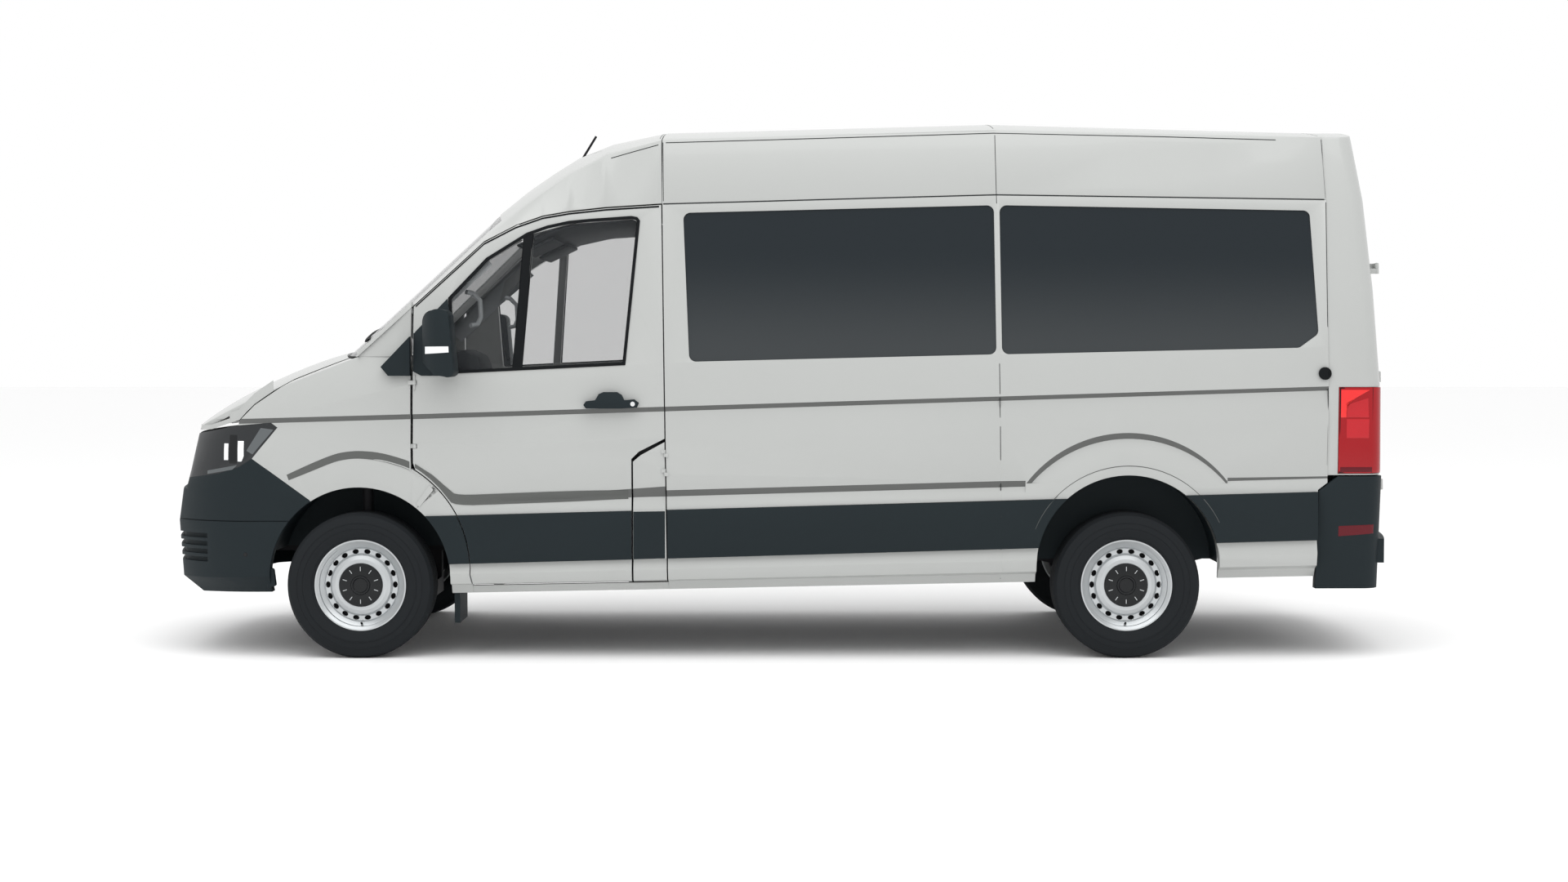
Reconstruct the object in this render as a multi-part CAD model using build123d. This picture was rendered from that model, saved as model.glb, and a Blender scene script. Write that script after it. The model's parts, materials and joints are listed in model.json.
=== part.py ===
from build123d import *
import math
import os

os.makedirs("parts", exist_ok=True)

# Frame: X forward, Y to the left, Z up, ground at Z = 0, origin half way along the van.
# All lengths in millimetres.

LENGTH = 5986
FRONT_OVERHANG = 1000
WHEELBASE = 3640
HALF_WIDTH = 1020
FRONT_AXLE = LENGTH / 2 - FRONT_OVERHANG
REAR_AXLE = FRONT_AXLE - WHEELBASE
NOSE = LENGTH / 2
TAIL = -LENGTH / 2

WALL = 58
ROOF_WALL = 45
GAP = 6
GLASS = 5
GLASS_INSET = 6
PANE_GAP = 0.5
CLAD_OUT = 10

TYRE_RADIUS = 346
TYRE_WIDTH = 215
WHEEL_Y = 862
RIM_RADIUS = 217
SEAT_RADIUS = 203
ARCH_RADIUS = 434
FRONT_ARCH_Z = 380
REAR_ARCH_Z = 439
KINGPIN_Y = 715

SEAM_LEAN = 0.015
B_SEAM = 530
MID_SEAM = -1051
REAR_SEAM = -2584
DOOR_FRONT = 1740
SEAM_FOOT = 362

# Lines that run along the body side: height at the front axle, rise per metre to the rear,
# inset from the greatest half width.
SIDE_LINES = [
    ("foot", 298, 20.0, 90),
    ("flange", 338, 20.0, 68),
    ("sill_low", 346, 22.0, 28),
    ("sill_edge", 394, 24.0, 16),
    ("clad_low", 437, 28.0, 32),
    ("clad_top", 670, 27.6, 18),
    ("waist", 1010, 32.6, 6),
    ("shoulder_low", 1129, 31.5, 18),
    ("shoulder_top", 1153, 30.5, 6),
    ("window_sill", 1366, 24.3, 20),
]

# Stations along the body: X, extra inset of the side, gutter height, gutter inset,
# roof edge height, roof edge half width, roof crown height.
STATIONS = {
    "tail": (REAR_SEAM, 8, 2171, 88, 2470, 868, 2546),
    "mid": (-1030, 0, 2194, 84, 2503, 880, 2590),
    "pillar": (556, 0, 2151, 84, 2458, 880, 2548),
    "post": (500, 0, 2151, 84, 0, 0, 0),
    "hinge": (DOOR_FRONT, 22, 2151, 164, 0, 0, 0),
}

# Cab roof and screen: X, height of the door-top seam, roof edge height and half width, crown.
CAB_ROOF = [
    (556, 2151, 2458, 880, 2548),
    (824, 2135, 2388, 866, 2497),
    (997, 2117, 2298, 852, 2432),
    (1122, 2096, 2212, 842, 2357),
    (1250, 2052, 2117, 836, 2270),
    (1400, 1975, 2000, 832, 2149),
    (2180, 1258, 1275, 890, 1424),
]
SCREEN_TOP = (1400, 2149)
SCREEN_SLOPE = math.atan2(2149 - 1424, 2180 - 1400)
COWL_Z = 1432

# Front end in plan: height, X of the tip.
NOSE_LEVELS = [
    (292, 2880),
    (372, 2975),
    (640, NOSE),
    (790, 2972),
    (982, 2921),
    (1101, 2889),
    (1125, 2882),
    (1470, 2790),
]
NOSE_WALL = 45
BONNET_THICK = 26
# Bonnet crown: X, height on the centre line, crown radius.
BONNET = [
    (2030, 1466, 9000),
    (2320, 1402, 4500),
    (2568, 1296, 4200),
    (2740, 1206, 3600),
    (2930, 1062, 3000),
]
SHUT_LINE = [(2030, 1440), (2318, 1321), (2491, 1204), (2568, 1128), (2720, 1080), (2960, 1062)]

# Rear end in plan: height, X of the rear face on the centre line.
TAIL_LEVELS = [
    (300, -2884),
    (900, -2884),
    (1290, -2880),
    (1745, -2850),
    (2171, -2806),
    (2460, -2762),
    (2610, -2738),
]
TAIL_BULGE = 34
TAIL_WALL = 60
DOOR_EDGE_Y = 800
DOOR_SILL_Z = 610
DOOR_HEAD_Z = 2290
REAR_HINGE_Y = 838
REAR_HINGE_X = -2877
REAR_HINGE_LEAN = 0.03
BUMPER_TOP = 600

FLOOR_Z = 640
FLOOR_THICK = 30
RAIL_Y = 430
RAIL_HALF = 35
RAIL_LOW = 470
RAIL_FRONT = 2700


def along(line, x):
    """Height of a side line at X."""
    for name, height, rise, inset in SIDE_LINES:
        if name == line:
            return height + rise * (FRONT_AXLE - x) / 1000


def wire(points, place):
    """Closed wire; a step written (mid, end) is an arc through mid."""
    edges = []
    at = place(points[0])
    for step in points[1:] + [points[0]]:
        if isinstance(step[0], tuple):
            end = place(step[1])
            edges.append(Edge.make_three_point_arc(at, place(step[0]), end))
        else:
            end = place(step)
            if (end - at).length > 0.001:
                edges.append(Edge.make_line(at, end))
        at = end
    return Wire(edges)


def side_prism(points, y_low=0, y_high=1400):
    """Outline seen from the side, run across from y_low to y_high."""
    outline = wire(points, lambda p: Vector(p[0], y_low, p[1]))
    return Solid.extrude(Face(outline), Vector(0, y_high - y_low, 0))


def rear_prism(points, x_low, x_high):
    """Outline in Y and Z, run along X."""
    outline = wire(points, lambda p: Vector(x_low, p[0], p[1]))
    return Solid.extrude(Face(outline), Vector(x_high - x_low, 0, 0))


def plan_prism(points, z_low, z_high):
    """Outline in X and Y, run upwards."""
    outline = wire(points, lambda p: Vector(p[0], p[1], z_low))
    return Solid.extrude(Face(outline), Vector(0, 0, z_high - z_low))


def block(x0, x1, y0, y1, z0, z1):
    """Box between two corners."""
    return Solid.make_box(x1 - x0, y1 - y0, z1 - z0, Plane((x0, y0, z0)))


def rod(start, end, radius):
    """Round bar between two points."""
    axis = Vector(*end) - Vector(*start)
    return Solid.make_cylinder(radius, axis.length, Plane(Vector(*start), z_dir=axis))


def solids(shape):
    """All solids of a result, largest first."""
    if isinstance(shape, Solid):
        return [shape]
    found = shape.solids() if not isinstance(shape, ShapeList) else [s for p in shape for s in p.solids()]
    return sorted(found, key=lambda s: -s.volume)


def largest(shape):
    return solids(shape)[0]


def other_side(shape):
    return shape.mirror(Plane.XZ)


def save(name, *pieces):
    found = [s for piece in pieces for s in solids(piece)]
    export_step(found[0] if len(found) == 1 else Compound(found), f"parts/{name}.step")
    print(name, len(found), round(sum(s.volume for s in found) / 1e6, 2), "litres")


def skin_points(station):
    """Outer side of the body at a station, from the sill to the gutter."""
    x, taper, gutter_z, gutter_inset = STATIONS[station][:4]
    points = [(HALF_WIDTH - inset - taper, along(name, x)) for name, _, _, inset in SIDE_LINES]
    return points + [(HALF_WIDTH - gutter_inset, gutter_z)]


def skin_y(first, second, x, z):
    """Half width of the skin at a point between two stations."""
    ends = []
    for station in (first, second):
        points = skin_points(station)
        for low, high in zip(points, points[1:]):
            if low[1] <= z <= high[1]:
                part = (z - low[1]) / (high[1] - low[1])
                ends.append(low[0] + part * (high[0] - low[0]))
                break
        else:
            ends.append(points[-1][0] if z > points[-1][1] else points[0][0])
    x0, x1 = STATIONS[first][0], STATIONS[second][0]
    part = (x - x0) / (x1 - x0)
    return ends[0] + part * (ends[1] - ends[0])


def side_slab(names):
    """Body side as one thick slab through the named stations."""
    sections = []
    for station in names:
        x = STATIONS[station][0]
        outer = skin_points(station)
        inner = [(y - WALL, z) for y, z in (outer[-1], outer[-2], outer[4])]
        inner.append((outer[0][0] - 18, outer[0][1]))
        sections.append(Wire.make_polygon([Vector(x, y, z) for y, z in outer + inner]))
    return Solid.make_loft(sections, ruled=True)


def glass_slab(names):
    """Sheet of glass just inside the skin, from the shoulder to the gutter."""
    sections = []
    for station in names:
        x = STATIONS[station][0]
        outer = [(y - GLASS_INSET, z) for y, z in skin_points(station)[-3:]]
        inner = [(y - GLASS, z) for y, z in reversed(outer)]
        sections.append(Wire.make_polygon([Vector(x, y, z) for y, z in outer + inner]))
    return Solid.make_loft(sections, ruled=True)


def roof_section(x, seam, seam_z, edge, edge_z, crown):
    """Roof in section: an arch with upright sides and a curved top."""
    t = ROOF_WALL
    outline = [
        (seam, seam_z), (edge, edge_z), ((0, crown), (-edge, edge_z)), (-seam, seam_z),
        (-seam + t, seam_z), (-edge + t, edge_z - t), ((0, crown - t), (edge - t, edge_z - t)),
        (seam - t, seam_z),
    ]
    return wire(outline, lambda p: Vector(x, p[0], p[1]))


def seam_x(foot, z):
    return foot + SEAM_LEAN * (z - SEAM_FOOT)


def between(front, rear, front_gap=0, z_low=200, z_high=2700):
    """Side outline between two leaning seams, drawn back by front_gap at the first."""
    return [(seam_x(front, z_low) - front_gap, z_low), (seam_x(front, z_high) - front_gap, z_high),
            (seam_x(rear, z_high), z_high), (seam_x(rear, z_low), z_low)]


def arch_cut(x, z, radius, y_low=300, y_high=1400):
    cylinder = Solid.make_cylinder(radius, y_high - y_low, Plane((x, y_low, z), z_dir=(0, 1, 0)))
    return cylinder + block(x - radius, x + radius, y_low, y_high, 0, z)


# Grooves pressed into the lower side: a ring over each wheel and a straight run between them.
GROOVE_DEPTH = 16
GROOVE_UP = 42
GROOVE_DOWN = 62


def groove_ring(x, z, radius, y, turn=0):
    """Ring groove about a wheel arch, kept above the straight groove."""
    profile = [(radius + 8, y + 9), (radius - 34, y - GROOVE_DEPTH), (radius - 100, y + 9)]
    face = Face(Wire.make_polygon([Vector(x + r, d, z) for r, d in profile]))
    ring = Solid.revolve(face, 360, Axis((x, 0, z), (0, 1, 0)))
    return ring.rotate(Axis((x, y, z), (0, 0, 1)), turn)


def groove_run(x_front, x_rear, y, low):
    """Straight groove between two X positions; low gives its foot height at X."""
    sections = []
    for x in (x_front, x_rear):
        z = low(x)
        top = z + GROOVE_DOWN + GROOVE_UP + 16
        points = [(y + 9, z - 14), (y - GROOVE_DEPTH, z + GROOVE_DOWN), (y + 9, top)]
        sections.append(Wire.make_polygon([Vector(x, d, h) for d, h in points]))
    return Solid.make_loft(sections, ruled=True)


def low(x):
    """Foot of the straight groove."""
    return along("clad_top", x)


def door_sill(x):
    """Lower edge of the cab door."""
    return along("flange", x) + 2


# Body sides.
box_side = side_slab(["tail", "mid", "pillar"])
cab_side = side_slab(["post", "hinge"])
GROOVE_Y = HALF_WIDTH - 12
rear_groove = groove_ring(REAR_AXLE, REAR_ARCH_Z, 640, GROOVE_Y)
rear_groove = rear_groove & block(REAR_AXLE - 700, REAR_AXLE + 700, 900, 1100, 835, 1200)
front_run = groove_run(B_SEAM + 200, REAR_AXLE + 488, GROOVE_Y, low)
tail_run = groove_run(REAR_AXLE - 465, REAR_SEAM - 100, GROOVE_Y, low)

WINDOW_ROUND = 34
WINDOW_FRONT = [(426, 1408), (456, 2110), (-1010, 2146), (-1020, 1443)]
WINDOW_REAR = [(-1046, 1443), (-1036, 2146), (-2500, 2121), (-2538, 1540), (-2447, 1474)]


def rounded(points, radius):
    """Outline with its corners turned into arcs; the first point stays where a straight side starts."""
    steps = []
    for i, (x, z) in enumerate(points):
        (ax, az), (bx, bz) = points[i - 1], points[(i + 1) % len(points)]
        to_a = Vector(ax - x, az - z).normalized()
        to_b = Vector(bx - x, bz - z).normalized()
        turn = math.acos(max(-1, min(1, to_a.dot(to_b))))
        run = radius / math.tan(turn / 2)
        middle = (to_a + to_b).normalized() * (radius / math.sin(turn / 2) - radius)
        start = (x + to_a.X * run, z + to_a.Y * run)
        end = (x + to_b.X * run, z + to_b.Y * run)
        steps.append(start)
        steps.append(((x + middle.X, z + middle.Y), end))
    return steps


def shrink(points, by):
    """Outline with each corner drawn towards the middle."""
    cx = sum(p[0] for p in points) / len(points)
    cz = sum(p[1] for p in points) / len(points)
    result = []
    for x, z in points:
        reach = math.hypot(x - cx, z - cz)
        result.append((x + (cx - x) * by / reach, z + (cz - z) * by / reach))
    return result


def pane(sheet, outline, radius):
    """Glass pane that fills a window of the given outline."""
    return largest(sheet & side_prism(rounded(shrink(outline, PANE_GAP), radius)))


half = GAP / 2
mid_panel = box_side & side_prism(between(B_SEAM, MID_SEAM, half))
mid_panel = largest(mid_panel - side_prism(rounded(WINDOW_FRONT, WINDOW_ROUND)) - front_run)
rear_outline = [
    (seam_x(MID_SEAM, 200), 200), (seam_x(MID_SEAM, 2700), 2700),
    (-2560, 2700), (-2579, 2171), (-2584, 1292), (-2584, 838), (-2540, 804), (-2540, 200),
]
rear_panel = box_side & side_prism(rear_outline)
rear_panel = rear_panel - side_prism(rounded(WINDOW_REAR, WINDOW_ROUND)) - front_run - tail_run - rear_groove
rear_panel = largest(rear_panel - arch_cut(REAR_AXLE, REAR_ARCH_Z, ARCH_RADIUS))
box_glass = glass_slab(["tail", "mid", "pillar"])
front_pane = pane(box_glass, WINDOW_FRONT, WINDOW_ROUND)
rear_pane = pane(box_glass, WINDOW_REAR, WINDOW_ROUND)
save("side_left_rear", rear_panel)
save("side_right_rear", other_side(rear_panel))
POST = 100
post_line = B_SEAM - POST
post = largest(mid_panel & side_prism(between(B_SEAM, post_line, half)))
slide = largest(mid_panel & side_prism(between(post_line, MID_SEAM)))
save("b_post_right", other_side(post))
save("sliding_door", other_side(slide))
save("side_glass", front_pane, rear_pane, other_side(front_pane), other_side(rear_pane))


# Cladding strips on the lower side.
def cladding(names):
    sections = []
    for station in names:
        x, taper = STATIONS[station][:2]
        y = HALF_WIDTH - taper
        z0, z1 = along("clad_low", x), along("clad_top", x)
        points = [(y - 32, z0), (y - 18, z1), (y - 18 + CLAD_OUT, z1 - 3), (y - 32 + 22, z0 + 3)]
        sections.append(Wire.make_polygon([Vector(x, d, h) for d, h in points]))
    return Solid.make_loft(sections, ruled=True)


box_clad = cladding(["tail", "mid", "pillar"])
cab_clad = cladding(["post", "hinge"])
mid_clad = largest(box_clad & side_prism(between(B_SEAM, MID_SEAM, half)))
rear_clad = box_clad & side_prism(rear_outline)
rear_clads = solids(rear_clad - arch_cut(REAR_AXLE, REAR_ARCH_Z, ARCH_RADIUS))
left_clads = [mid_clad] + rear_clads

# Front door.


def top_seam(x):
    """Height of the seam over the front door."""
    for first, second in zip(CAB_ROOF, CAB_ROOF[1:]):
        if first[0] <= x <= second[0]:
            return first[1] + (second[1] - first[1]) * (x - first[0]) / (second[0] - first[0])


DOOR_OUTLINE = [
    (1452, door_sill(1452)), (1463, 400), ((1507, 645), (1720, 898)), (DOOR_FRONT - 9, 930),
    (DOOR_FRONT - 9, top_seam(DOOR_FRONT - 9) - half),
] + [(x, z - half) for x, z, *_ in reversed(CAB_ROOF[1:-1])] + [
    (seam_x(B_SEAM, 2147) + half, 2151 - half), (seam_x(B_SEAM, 1040) + half, 1046), (664, 985),
    (697 + half, 950), (697 + half, door_sill(697)),
]
DOOR_ROUND = 10
QUARTER = [(1534, 1361), (1258, 1374), (1210, 1992), (1385, 1885), (1556, 1705)]
DROP = [(1219, 1376), (738, 1400), (674, 2070), (700, 2082), (995, 2060), (1168, 2012)]
FRONT_GROOVE_Y = HALF_WIDTH - 34
FRONT_GROOVE_TURN = -2.5
front_groove = groove_ring(FRONT_AXLE, FRONT_ARCH_Z, 600, FRONT_GROOVE_Y, FRONT_GROOVE_TURN)
front_groove = front_groove & block(FRONT_AXLE - 640, FRONT_AXLE + 380, 880, 1100, 780, 1100)
door_run = groove_run(B_SEAM - 200, FRONT_AXLE - 448, GROOVE_Y - 8, low)
door = cab_side & side_prism(DOOR_OUTLINE)
door = door - side_prism(rounded(QUARTER, DOOR_ROUND)) - side_prism(rounded(DROP, DOOR_ROUND))
door = door - door_run - front_groove
HINGE_X = 1723
HINGE_Y = 984
HINGE_PIN = 5
PIN_CLEAR = 0.06
DOOR_HINGES = [1000, 1300]
door_leaves = []
for z in DOOR_HINGES:
    door = door - rod((HINGE_X, HINGE_Y, z - 26), (HINGE_X, HINGE_Y, z + 46), HINGE_PIN + PIN_CLEAR)
    door = door - block(HINGE_X - 12, HINGE_X + 20, HINGE_Y - 12, HINGE_Y + 30, z - 1, z + 21)
    leaf = rod((HINGE_X, HINGE_Y, z - 25), (HINGE_X, HINGE_Y, z + 45), HINGE_PIN)
    leaf = leaf + rod((HINGE_X, HINGE_Y, z), (HINGE_X, HINGE_Y, z + 20), HINGE_PIN + 4)
    door_leaves.append(leaf + block(HINGE_X, DOOR_FRONT + 14, HINGE_Y - 8, HINGE_Y, z, z + 20))
door = largest(door)
FLAP_FRONT = 691.5
FLAP_SKIN = 10
flap_outline = [
    (seam_x(B_SEAM, door_sill(540)) + half, door_sill(540)), (seam_x(B_SEAM, 1034) + half, 1030),
    (656, 968), (FLAP_FRONT, 938), (FLAP_FRONT, door_sill(697)),
]
flap = (cab_side & side_prism(flap_outline)) - door_run
flap = largest(flap - (cab_side - door_run).translate(Vector(0, -FLAP_SKIN, 0)))
door_clad = largest(cab_clad & side_prism(DOOR_OUTLINE))
WING_FOOT = 1458
wing_tail_outline = [
    (DOOR_FRONT + half, 905), ((1513, 645), (1469, 400)), (WING_FOOT, door_sill(WING_FOOT)), (WING_FOOT, 200),
    (FRONT_AXLE, 200), (FRONT_AXLE, FRONT_ARCH_Z), (DOOR_FRONT + half, FRONT_ARCH_Z),
]
front_arch = arch_cut(FRONT_AXLE, FRONT_ARCH_Z, ARCH_RADIUS)
wing_tail = largest((cab_side & side_prism(wing_tail_outline)) - front_arch - door_run - front_groove)
wing_clad = largest((cab_clad & side_prism(wing_tail_outline)) - front_arch)
left_clads.append(wing_clad)
sill_top = door_sill(B_SEAM) - GAP
sill_outline = [(seam_x(B_SEAM, 200) - half, 200), (seam_x(B_SEAM, sill_top) - half, sill_top),
                (WING_FOOT, door_sill(WING_FOOT) - GAP), (WING_FOOT, 200)]
sill = largest(cab_side & side_prism(sill_outline))
save("sills", sill, other_side(sill))
flap_clad = largest(cab_clad & side_prism(flap_outline))
cab_glass = glass_slab(["post", "hinge"])
quarter_pane = pane(cab_glass, QUARTER, DOOR_ROUND)
drop_pane = pane(cab_glass, DROP, DOOR_ROUND)
save("door_left", door)
save("door_right", other_side(door))
save("door_glass_left", quarter_pane, drop_pane)
save("door_glass_right", other_side(quarter_pane), other_side(drop_pane))
FLAP_PIN_Y = 1013.5
FLAP_PIN = 2
FLAP_HINGES = [870, 960]
flap = flap + flap_clad


def flap_pin(z):
    """Point on the fuel flap's hinge line."""
    return (seam_x(B_SEAM, z) + half, FLAP_PIN_Y, z)


for z in FLAP_HINGES:
    x = flap_pin(z)[0]
    lug = rod(flap_pin(z), flap_pin(z + 16), FLAP_PIN + 2) + rod(flap_pin(z), flap_pin(z + 34), FLAP_PIN)
    mid_panel = mid_panel + lug + block(x - 16, x, FLAP_PIN_Y - 20, FLAP_PIN_Y + 2, z, z + 16)
    flap = flap - rod(flap_pin(z - 2), flap_pin(z + 17), FLAP_PIN + 4)
    lug = rod(flap_pin(z + 17), flap_pin(z + 33), FLAP_PIN + 2)
    lug = lug + block(x + 1, x + 16, FLAP_PIN_Y - 20, FLAP_PIN_Y + 2, z + 17, z + 33)
    flap = flap + (lug - rod(flap_pin(z + 10), flap_pin(z + 40), FLAP_PIN + PIN_CLEAR))
save("side_left_mid", largest(mid_panel))
save("fuel_flap", largest(flap))

# Door mirror and pull handle share the black trim of the door. The mirror's foot is a thin cover on
# the door; the front of that cover stays on the body, ahead of the hinge.
MIRROR_REACH = 1213
MIRROR_FOOT = 8
mirror_side = [(1663, 1409), (1663, 1578), ((1651, 1625), (1609, 1648)), ((1585, 1654), (1562, 1652)),
               ((1540, 1643), (1528, 1610)), (1507, 1374), ((1513, 1347), (1545, 1341)), (1600, 1350)]
mirror_plan = [(1490, 1040), (1490, MIRROR_REACH - 10), ((1510, MIRROR_REACH), (1530, MIRROR_REACH)),
               ((1620, 1180), (1670, 1090)), (1670, 1040)]
mirror_head = side_prism(mirror_side, 1000, 1300) & plan_prism(mirror_plan, 1300, 1700)
arm_outline = [(1575, 1375), (1575, 1480), (1650, 1480), (1655, 1410), (1620, 1375)]
mirror_arm = side_prism(arm_outline, 960, 1060) - cab_side
foot_outline = [(1724, 1360), (1690, 1342), (1561, 1342), (1561, 1648), (1571, 1706), (1711, 1560), (1724, 1546)]
mirror_foot = (cab_side.translate(Vector(0, MIRROR_FOOT, 0)) - cab_side) & side_prism(foot_outline, 900)
mirror = largest(mirror_head + mirror_arm + mirror_foot)
SAIL = [(1742, 1342), (1844, 1342), (1879, 1384), (1742, 1527)]
SAIL_FACE = 1004
HANDLE = [(922, 1206), (910, 1223), (867, 1228), (850, 1257), (829, 1266), (765, 1266), (743, 1253),
          (731, 1228), (684, 1232), (662, 1215), (671, 1194), (743, 1189), (910, 1189)]
handle = largest(side_prism(HANDLE, 1000, 1040) - cab_side)
save("door_trim_left", mirror, handle, door_clad)
save("door_trim_right", other_side(mirror), other_side(handle), other_side(door_clad))

# Roof.
rows = {}
for station in ("tail", "mid", "pillar"):
    x, taper, gutter_z, gutter_inset, edge_z, edge, crown = STATIONS[station]
    rows[station] = roof_section(x, HALF_WIDTH - gutter_inset, gutter_z, edge, edge_z, crown)
roof_box = Solid.make_loft([rows["tail"], rows["mid"], rows["pillar"]], ruled=True)
roof_mid = largest(roof_box & side_prism(between(B_SEAM, MID_SEAM), -1400))
roof_rear = largest(roof_box & side_prism(rear_outline, -1400))
save("roof_rear_panels", roof_mid, roof_rear)

cab_rows = []
for x, seam_z, edge_z, edge, crown in CAB_ROOF:
    seam = skin_y("pillar", "hinge", x, seam_z)
    cab_rows.append(roof_section(x, seam, seam_z + half, edge, edge_z, crown))
cab_top = Solid.make_loft(cab_rows, ruled=True)
down = Vector(math.cos(SCREEN_SLOPE), 0, -math.sin(SCREEN_SLOPE))
screen_out = (math.sin(SCREEN_SLOPE), 0, math.cos(SCREEN_SLOPE))
screen_plane = Plane((SCREEN_TOP[0], 0, SCREEN_TOP[1]), x_dir=down, z_dir=screen_out)


def screen_prism(margin):
    """Screen outline seen square on, run through the glass."""
    corners = [(margin, -735 + margin), (1010, -845 + margin), (1010, 845 - margin), (margin, 735 - margin)]
    outline = Wire.make_polygon([screen_plane.from_local_coords(Vector(u, v, -330)) for u, v in corners])
    return Solid.extrude(Face(outline), screen_plane.z_dir * 430)


def screen_sheet():
    sections = []
    for x, seam_z, edge_z, edge, crown in CAB_ROOF[-2:]:
        a, b = GLASS_INSET, GLASS_INSET + GLASS
        outline = [(edge, edge_z - a), ((0, crown - a), (-edge, edge_z - a)), (-edge, edge_z - b),
                   ((0, crown - b), (edge, edge_z - b))]
        sections.append(wire(outline, lambda p: Vector(x, p[0], p[1])))
    return Solid.make_loft(sections, ruled=True)


above_cowl = block(0, 2400, -1200, 1200, COWL_Z, 2700)
screen = largest(screen_sheet() & screen_prism(PANE_GAP) & above_cowl)
save("windscreen", screen)
front_top = (cab_top - screen_prism(0)) & above_cowl & side_prism(between(2400, B_SEAM), -1400)
STATIONS["cowl"] = (2010, 42, 2151, 232)
gusset_slab = side_slab(["hinge", "cowl"])
gusset_outline = [(1743, COWL_Z), (1743, 1690), (2000, COWL_Z + 18), (2000, COWL_Z)]
gusset = largest(gusset_slab & side_prism(gusset_outline))
front_top = front_top + gusset + other_side(gusset)
save("roof_front", largest(front_top))

# Front end.
NOSE_TILT = 0.03
NOSE_REAR = DOOR_FRONT - 10


def nose_mould(inset):
    """Front end as a stack of plan outlines, drawn in by an inset."""
    sections = []
    for z_tip, tip in NOSE_LEVELS:
        z = z_tip + NOSE_TILT * (2950 - DOOR_FRONT)
        h = skin_y("pillar", "hinge", DOOR_FRONT, z) - inset
        t = tip - inset
        x_c = 2420
        outline = [
            (NOSE_REAR, h), (x_c, h - 50), ((t - 233, h - 120), (t - 88, 720 - inset * 0.7)),
            ((t, 0), (t - 88, -720 + inset * 0.7)), ((t - 233, -h + 120), (x_c, -h + 50)), (NOSE_REAR, -h),
        ]
        sections.append(wire(outline, lambda p: Vector(p[0], p[1], z - NOSE_TILT * (p[0] - DOOR_FRONT))))
    return Solid.make_loft(sections, ruled=True)


def crown_sections(lower, floor_z=None):
    """Bonnet sections: an arc on top, closed by a lower arc or a flat floor."""
    sections = []
    rows = BONNET if floor_z is None else [(DOOR_FRONT, 1500, 20000)] + BONNET
    for x, top, radius in rows:
        drop = radius - math.sqrt(radius**2 - 1000**2)
        z = top - lower
        if floor_z is None:
            b = BONNET_THICK
            outline = [(1000, z - drop), ((0, z), (-1000, z - drop)), (-1000, z - drop - b),
                       ((0, z - b), (1000, z - drop - b))]
        else:
            outline = [(1000, z - drop), ((0, z), (-1000, z - drop)), (-1000, floor_z), (1000, floor_z)]
        sections.append(wire(outline, lambda p: Vector(x, p[0], p[1])))
    return sections


nose = nose_mould(0)
bonnet_slab = Solid.make_loft(crown_sections(0), ruled=False)
under_bonnet = Solid.make_loft(crown_sections(0, 150), ruled=False)
screen_foot = plan_prism([(2026, -900), (2026, 900), ((2172, 0), (2026, -900))], 1300, 1500)
bonnet_cut = [(x, z + half) for x, z in SHUT_LINE] + [(3100, 1065), (3100, 1600), (2030, 1600)]
bonnet = bonnet_slab & side_prism(bonnet_cut, -1400) & nose_mould(8)
bonnet = largest(bonnet - screen_foot)
save("bonnet", bonnet)

LAMP_TOP = [(2800, 1062), (2574, 1105), (2413, 1119), (2381, 1096)]
LAMP_FOOT = [(2503, 948), (2570, 907), (2672, 876), (2846, 850)]
GRILLE_FOOT = 796
nose_shell = nose - nose_mould(NOSE_WALL)
wing_outline = [
    (DOOR_FRONT + half, COWL_Z), (DOOR_FRONT + half, 900), (NOSE_REAR, 870), (NOSE_REAR, FRONT_ARCH_Z),
    (2100, FRONT_ARCH_Z), (2198, 702), (2230, 752), LAMP_FOOT[0], *reversed(LAMP_TOP[1:]),
] + [(x, z - half) for x, z in reversed(SHUT_LINE[1:4])] + [(2042, COWL_Z)]
wing = (nose_shell & under_bonnet) + ((bonnet_slab & nose) - screen_foot)
wing = (wing & side_prism(wing_outline)) - arch_cut(FRONT_AXLE, FRONT_ARCH_Z, ARCH_RADIUS)
wing = largest(wing - front_groove)
wing = wing + wing_tail
for leaf in door_leaves:
    wing = wing + leaf
wing = largest(wing)
left_clads.append(largest(side_prism(SAIL, 960, SAIL_FACE) - wing - front_top))
save("wings", wing, other_side(wing))
lamp = largest((nose_mould(1) - nose_mould(110)) & side_prism(LAMP_TOP + LAMP_FOOT) & under_bonnet)
save("headlamps", lamp, other_side(lamp))
BUMPER_SEAM = 648
INTAKE_RIBS = 4
INTAKE_FOOT = 452
INTAKE_PITCH = 38
INTAKE_REAR = 2735
grille_outline = [LAMP_FOOT[-1], LAMP_TOP[0], (3100, 1055), (3100, GRILLE_FOOT), (2853, GRILLE_FOOT)]
grille = largest((nose_mould(12) - nose_mould(60)) & side_prism(grille_outline, -1400))
GRILLE_SLOTS = 5
GRILLE_PITCH = 42
for i in range(GRILLE_SLOTS):
    z = GRILLE_FOOT + 26 + GRILLE_PITCH * i
    for y0, y1 in ((-600, -20), (20, 600)):
        grille = grille - block(2600, NOSE, y0, y1, z, z + GRILLE_PITCH * 0.55)
grille = largest(grille)
save("grille", grille)
bumper_outline = [
    (2250, 150), (3100, 150), (3100, GRILLE_FOOT), (2853, GRILLE_FOOT), *reversed(LAMP_FOOT),
    (2230, 752), (2198, 702),
]
bumper = (nose - nose_mould(60)) & side_prism(bumper_outline, -1400)
bumper = largest(bumper - arch_cut(FRONT_AXLE, FRONT_ARCH_Z, ARCH_RADIUS, -1400))
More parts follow.
